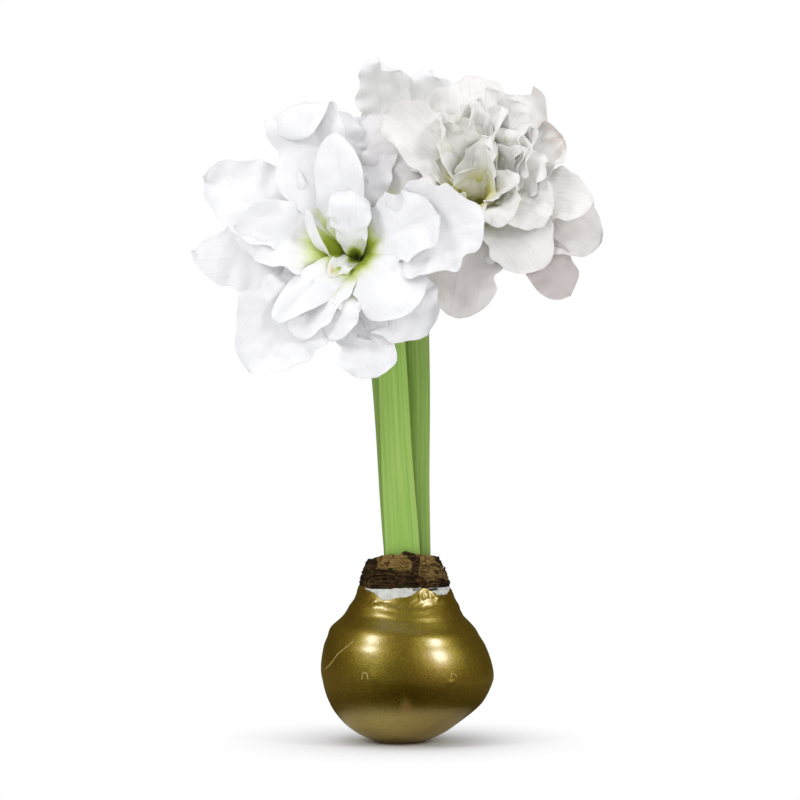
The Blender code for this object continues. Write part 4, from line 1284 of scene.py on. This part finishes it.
def bract_mesh(name):
    """The sheath at a stem's top: a wrinkled collar round the stem and two papery blades."""
    stem = STEMS[name]
    top = stem.top_height - STEM_DOME
    angle = full_turn(COLLAR_SIDES)[None, :]
    share = np.array([0.0, 0.15, 0.35, 0.55, 0.75, 0.9, 1.0])[:, None]
    height = top - COLLAR_HEIGHT + share * COLLAR_HEIGHT + 0.0003 * np.sin(5 * angle)
    centre, half = stem_section(stem, np.array([top - BRACT_DROP]))
    creases = 0.0002 * np.sin(13 * angle + 4 * share) + 0.00015 * np.sin(29 * angle)
    reach = half + COLLAR_GAP + np.array(COLLAR_WALLS)
    x = centre[0, 0] + (reach[:, :1, None] + creases) * np.cos(angle)
    y = centre[0, 1] + (reach[:, 1:, None] + creases) * np.sin(angle)
    outer, inner = np.stack(np.broadcast_arrays(x, y, height), axis=-1)
    collar = np.concatenate([outer, inner[::-1]])
    points, faces = rings_mesh(collar, closed=True)
    turn = np.tile(angle.ravel(), len(collar))
    parts = [(points, faces, {"uv": np.stack([turn * 0.8, points[:, 2] * 100], axis=-1)})]
    settings = bpy.context.scene.amaryllis_petals
    wide, deep = half[0] + BRACT_GAP
    for azimuth in BRACT_AZIMUTHS[name]:
        direction = math.radians(azimuth)
        start = 1 / math.hypot(math.cos(direction) / wide, math.sin(direction) / deep)
        points, faces, values = petal_mesh(BRACT._replace(azimuth=azimuth), start, settings)
        parts.append((points + [*centre[0], top - BRACT_DROP], faces, {"uv": values["uv"]}))
    return join_meshes(parts)


# One operator for each piece or group of like pieces


class AMARYLLIS_OT_wax(bpy.types.Operator):
    """Make the gold wax coat and the bare wax above its torn edge"""

    bl_idname = "amaryllis.wax"
    bl_label = "Wax"

    def execute(self, context):
        settings = context.scene.amaryllis_wax
        points, faces = rings_mesh(coat_surface())
        away = (points[:, [0, 2]] - RED_SPOT) / RED_SPOT_REACH
        spot = 0.85 * np.exp(-(away**2).sum(axis=1)) * (points[:, 1] < 0)
        parts = [(points, faces, {"spot": spot, "thread": np.zeros(len(points))})]
        for places in WAX_THREADS:
            points, faces = wax_thread(places)
            # The thread value marks where the painted highlight goes
            parts.append((points, faces, {"spot": np.zeros(len(points)), "thread": np.ones(len(points))}))
        points, faces, values = join_meshes(parts)
        add_piece("gold_coat", points, faces, values, gold_material(settings), "wax_coat")
        angle, height, _ = band_grid(PALE_FOOT, PALE_EDGE, 21, 0.0007)
        depth = 0.0004 - 0.0004 * rough(23, angle, height, 8, 50, 20, 200)
        points, faces = band_mesh(angle, height, depth, PALE_WALL)
        add_piece("bare_band", points, faces, {}, pale_wax_material(settings), "bare_wax")
        return {"FINISHED"}


class AMARYLLIS_OT_skins(bpy.types.Operator):
    """Make the dry papery skins round the neck"""

    bl_idname = "amaryllis.skins"
    bl_label = "Dry skins"

    def execute(self, context):
        material = skin_material(context.scene.amaryllis_skin)
        for name, node, slot, table, seed, inner in (
            ("dark_skin", "outer_skin", "brown_skin", DARK_SKIN_EDGE, 31, -0.0002),
            ("light_skin", "inner_skin", "tan_skin", LIGHT_SKIN_EDGE, 37, 0.0007),
        ):
            angle, height, share = band_grid(SKIN_FOOT, table, seed, 0.0014)
            depth = inner + skin_depth(angle, height, share, seed)
            points, faces = band_mesh(angle, height, depth, SKIN_WALL)
            tan = tan_share(angle, height)
            place = surface_map(angle, height)
            values = {"tan": np.append(tan.ravel(), tan[::-1].ravel()), "uv": np.vstack([place, place])}
            add_piece(name, points, faces, values, material, node)
        return {"FINISHED"}


class AMARYLLIS_OT_flesh(bpy.types.Operator):
    """Finish the bulb's flesh, which shows between the stems"""

    bl_idname = "amaryllis.flesh"
    bl_label = "Bulb flesh"

    def execute(self, context):
        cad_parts["bulb"].data.materials.clear()
        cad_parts["bulb"].data.materials.append(flesh_material())
        return {"FINISHED"}


class AMARYLLIS_OT_stems(bpy.types.Operator):
    """Make the three flower stems with their stalks and ovaries"""

    bl_idname = "amaryllis.stems"
    bl_label = "Stems"

    def execute(self, context):
        settings = context.scene.amaryllis_stems
        for seed, (name, shade_factor) in enumerate(STEM_SHADE_FACTORS.items()):
            bar = stem_bar(STEMS[name], seed + 1.3, settings.ribs)
            stalk = stalk_tube(STEMS[name], BLOOMS[name], seed + 0.6, settings.ribs)
            points, faces, values = join_meshes([bar, stalk])
            material = stem_material(settings, f"Stem {name}", shade_factor)
            add_piece(f"stalk_{name}", points, faces, values, material, f"stem_{name}")
        return {"FINISHED"}


class AMARYLLIS_OT_bracts(bpy.types.Operator):
    """Make the papery sheaths at the stems' tops"""

    bl_idname = "amaryllis.bracts"
    bl_label = "Bracts"

    def execute(self, context):
        material = bract_material()
        for name in STEMS:
            points, faces, values = bract_mesh(name)
            add_piece(f"sheath_{name}", points, faces, values, material, f"bracts_{name}")
        return {"FINISHED"}


class AMARYLLIS_OT_blooms(bpy.types.Operator):
    """Make the three double blooms"""

    bl_idname = "amaryllis.blooms"
    bl_label = "Blooms"

    def execute(self, context):
        settings = context.scene.amaryllis_petals
        # The right and back blooms take the pale throat, which is partly painted light in their hollows
        for name, white, green, veined in (
            ("front", settings.white, settings.green, 0.25),
            # The right bloom takes the shaded white, a painted shade over the whole bloom
            ("right", settings.shaded, settings.cream, 0.60),
            ("back", settings.white, settings.cream, 0.40),
        ):
            points, faces, values = bloom_mesh(BLOOMS[name], settings)
            material = petal_material(f"Petals {name}", np.array(white), np.array(green), veined)
            add_piece(f"petals_{name}", points, faces, values, material, f"bloom_{name}")
        return {"FINISHED"}


class AMARYLLIS_OT_stage(bpy.types.Operator):
    """Set up the floor, the lights, the surroundings and the camera"""

    bl_idname = "amaryllis.stage"
    bl_label = "Stage"

    def execute(self, context):
        settings = context.scene.amaryllis_stage
        make_floor(settings.floor)
        for name, place, aim, width, height, share, mirrored in SOFTBOXES:
            lamp = add_softbox(name, place, aim, width, height, share * settings.light)
            lamp.visible_glossy = mirrored
        set_surroundings(context.scene)
        set_camera(context.scene)
        return {"FINISHED"}


def make_floor(colour):
    """A wide level disc under the plant, in a pale matte finish: rings of points round a centre.

    The camera sees it fade to white away from the plant, and it looks darker in reflections.
    """
    angle = full_turn(FLOOR_SIDES)
    radius = np.array(FLOOR_RADII)[:, None]
    rings = np.stack(np.broadcast_arrays(radius * np.cos(angle), radius * np.sin(angle), 0.0), axis=-1)
    mesh = bpy.data.meshes.new("floor")
    points = np.vstack([[[0, 0, 0]], rings.reshape(-1, 3)])
    at = np.arange(FLOOR_SIDES)
    fan = np.stack([0 * at, at + 1, (at + 1) % FLOOR_SIDES + 1], axis=1)
    quads = grid_quads(len(rings), FLOOR_SIDES, wrap=True) + 1
    mesh.from_pydata(points.tolist(), [], fan.tolist() + quads[:, ::-1].tolist())
    floor = bpy.data.objects.new("floor", mesh)
    bpy.context.scene.collection.objects.link(floor)
    material, tree, shader = new_material(
        "Pale floor", Roughness=0.7, Specular_IOR_Level=0.0, Emission_Color=(1, 1, 1, 1)
    )
    place = object_place(tree)
    away = add_node(tree, "ShaderNodeVectorMath", {0: place}, operation="LENGTH").outputs["Value"]
    far = rescale(tree, away, 0.02, 0.12, curve="SMOOTHSTEP")
    beyond = rescale(tree, away, 0.040, 0.060)
    ray = tree.nodes.new("ShaderNodeLightPath")
    sideways = math_node(tree, "ABSOLUTE", add_node(tree, "ShaderNodeSeparateXYZ", {0: place}).outputs["X"])
    distant = mix_colours(tree, rescale(tree, sideways, 0.03, 0.12), FLOOR_BEYOND, FLOOR_ASIDE)
    mirrored = mix_colours(tree, beyond, FLOOR_NEAR, distant)
    lit = mix_colours(tree, ray.outputs["Is Glossy Ray"], colour, mirrored)
    seen = math_node(tree, "MULTIPLY", ray.outputs["Is Camera Ray"], far)
    tree.links.new(mix_colours(tree, seen, lit, (0.0, 0.0, 0.0)), shader.inputs["Base Color"])
    tree.links.new(seen, shader.inputs["Emission Strength"])
    mesh.materials.append(material)


def add_softbox(name, place, aim, width, height, power):
    """A rectangular area light at place, turned towards aim."""
    light = bpy.data.lights.new(name, "AREA")
    light.shape = "RECTANGLE"
    light.size = width
    light.size_y = height
    light.energy = power
    lamp = bpy.data.objects.new(name, light)
    lamp.location = place
    lamp.rotation_euler = (Vector(aim) - Vector(place)).to_track_quat("-Z", "Y").to_euler()
    bpy.context.scene.collection.objects.link(lamp)
    return lamp


def set_surroundings(scene):
    """White behind the plant, soft grey light on it, and a darker room in its reflections."""
    world = bpy.data.worlds.new("Surroundings")
    world.use_nodes = True
    tree = world.node_tree
    background = tree.nodes["Background"]
    ray = tree.nodes.new("ShaderNodeLightPath")
    cast = mix_colours(tree, ray.outputs["Is Glossy Ray"], AIR_LIGHT, AIR_MIRRORED)
    colour = mix_colours(tree, ray.outputs["Is Camera Ray"], cast, (1, 1, 1))
    tree.links.new(colour, background.inputs["Color"])
    scene.world = world
    scene.view_settings.view_transform = "Standard"


def set_camera(scene):
    """The camera in front of the plant."""
    data = bpy.data.cameras.new("Camera")
    data.lens = CAMERA_LENS
    data.sensor_width = CAMERA_SENSOR
    camera = bpy.data.objects.new("Camera", data)
    camera.location = (0, -CAMERA_DISTANCE, CAMERA_HEIGHT)
    camera.rotation_euler = (math.pi / 2, 0, 0)
    scene.collection.objects.link(camera)
    scene.camera = camera


OPERATORS = (
    AMARYLLIS_OT_wax,
    AMARYLLIS_OT_skins,
    AMARYLLIS_OT_flesh,
    AMARYLLIS_OT_stems,
    AMARYLLIS_OT_bracts,
    AMARYLLIS_OT_blooms,
    AMARYLLIS_OT_stage,
)
SETTINGS = {
    "amaryllis_petals": AMARYLLIS_PG_petals,
    "amaryllis_wax": AMARYLLIS_PG_wax,
    "amaryllis_skin": AMARYLLIS_PG_skin,
    "amaryllis_stems": AMARYLLIS_PG_stems,
    "amaryllis_stage": AMARYLLIS_PG_stage,
}


class AMARYLLIS_PT_panel(bpy.types.Panel):
    """The sidebar panel with the settings and a button for each piece"""

    bl_label = "Waxed Amaryllis"
    bl_idname = "AMARYLLIS_PT_panel"
    bl_space_type = "VIEW_3D"
    bl_region_type = "UI"
    bl_category = "Amaryllis"

    def draw(self, context):
        for name, group in SETTINGS.items():
            box = self.layout.box()
            for field in group.__annotations__:
                box.prop(getattr(context.scene, name), field)
        for operator in OPERATORS:
            self.layout.operator(operator.bl_idname)


def register():
    for group in SETTINGS.values():
        bpy.utils.register_class(group)
    for operator in OPERATORS:
        bpy.utils.register_class(operator)
    bpy.utils.register_class(AMARYLLIS_PT_panel)
    for name, group in SETTINGS.items():
        setattr(bpy.types.Scene, name, bpy.props.PointerProperty(type=group))


def unregister():
    for name in SETTINGS:
        delattr(bpy.types.Scene, name)
    bpy.utils.unregister_class(AMARYLLIS_PT_panel)
    for operator in reversed(OPERATORS):
        bpy.utils.unregister_class(operator)
    for group in reversed(SETTINGS.values()):
        bpy.utils.unregister_class(group)


def main():
    """Builds every piece and the stage."""
    register()
    bpy.ops.amaryllis.wax()
    bpy.ops.amaryllis.skins()
    bpy.ops.amaryllis.flesh()
    bpy.ops.amaryllis.stems()
    bpy.ops.amaryllis.bracts()
    bpy.ops.amaryllis.blooms()
    bpy.ops.amaryllis.stage()
    bpy.context.view_layer.update()


if __name__ == "__main__":
    main()
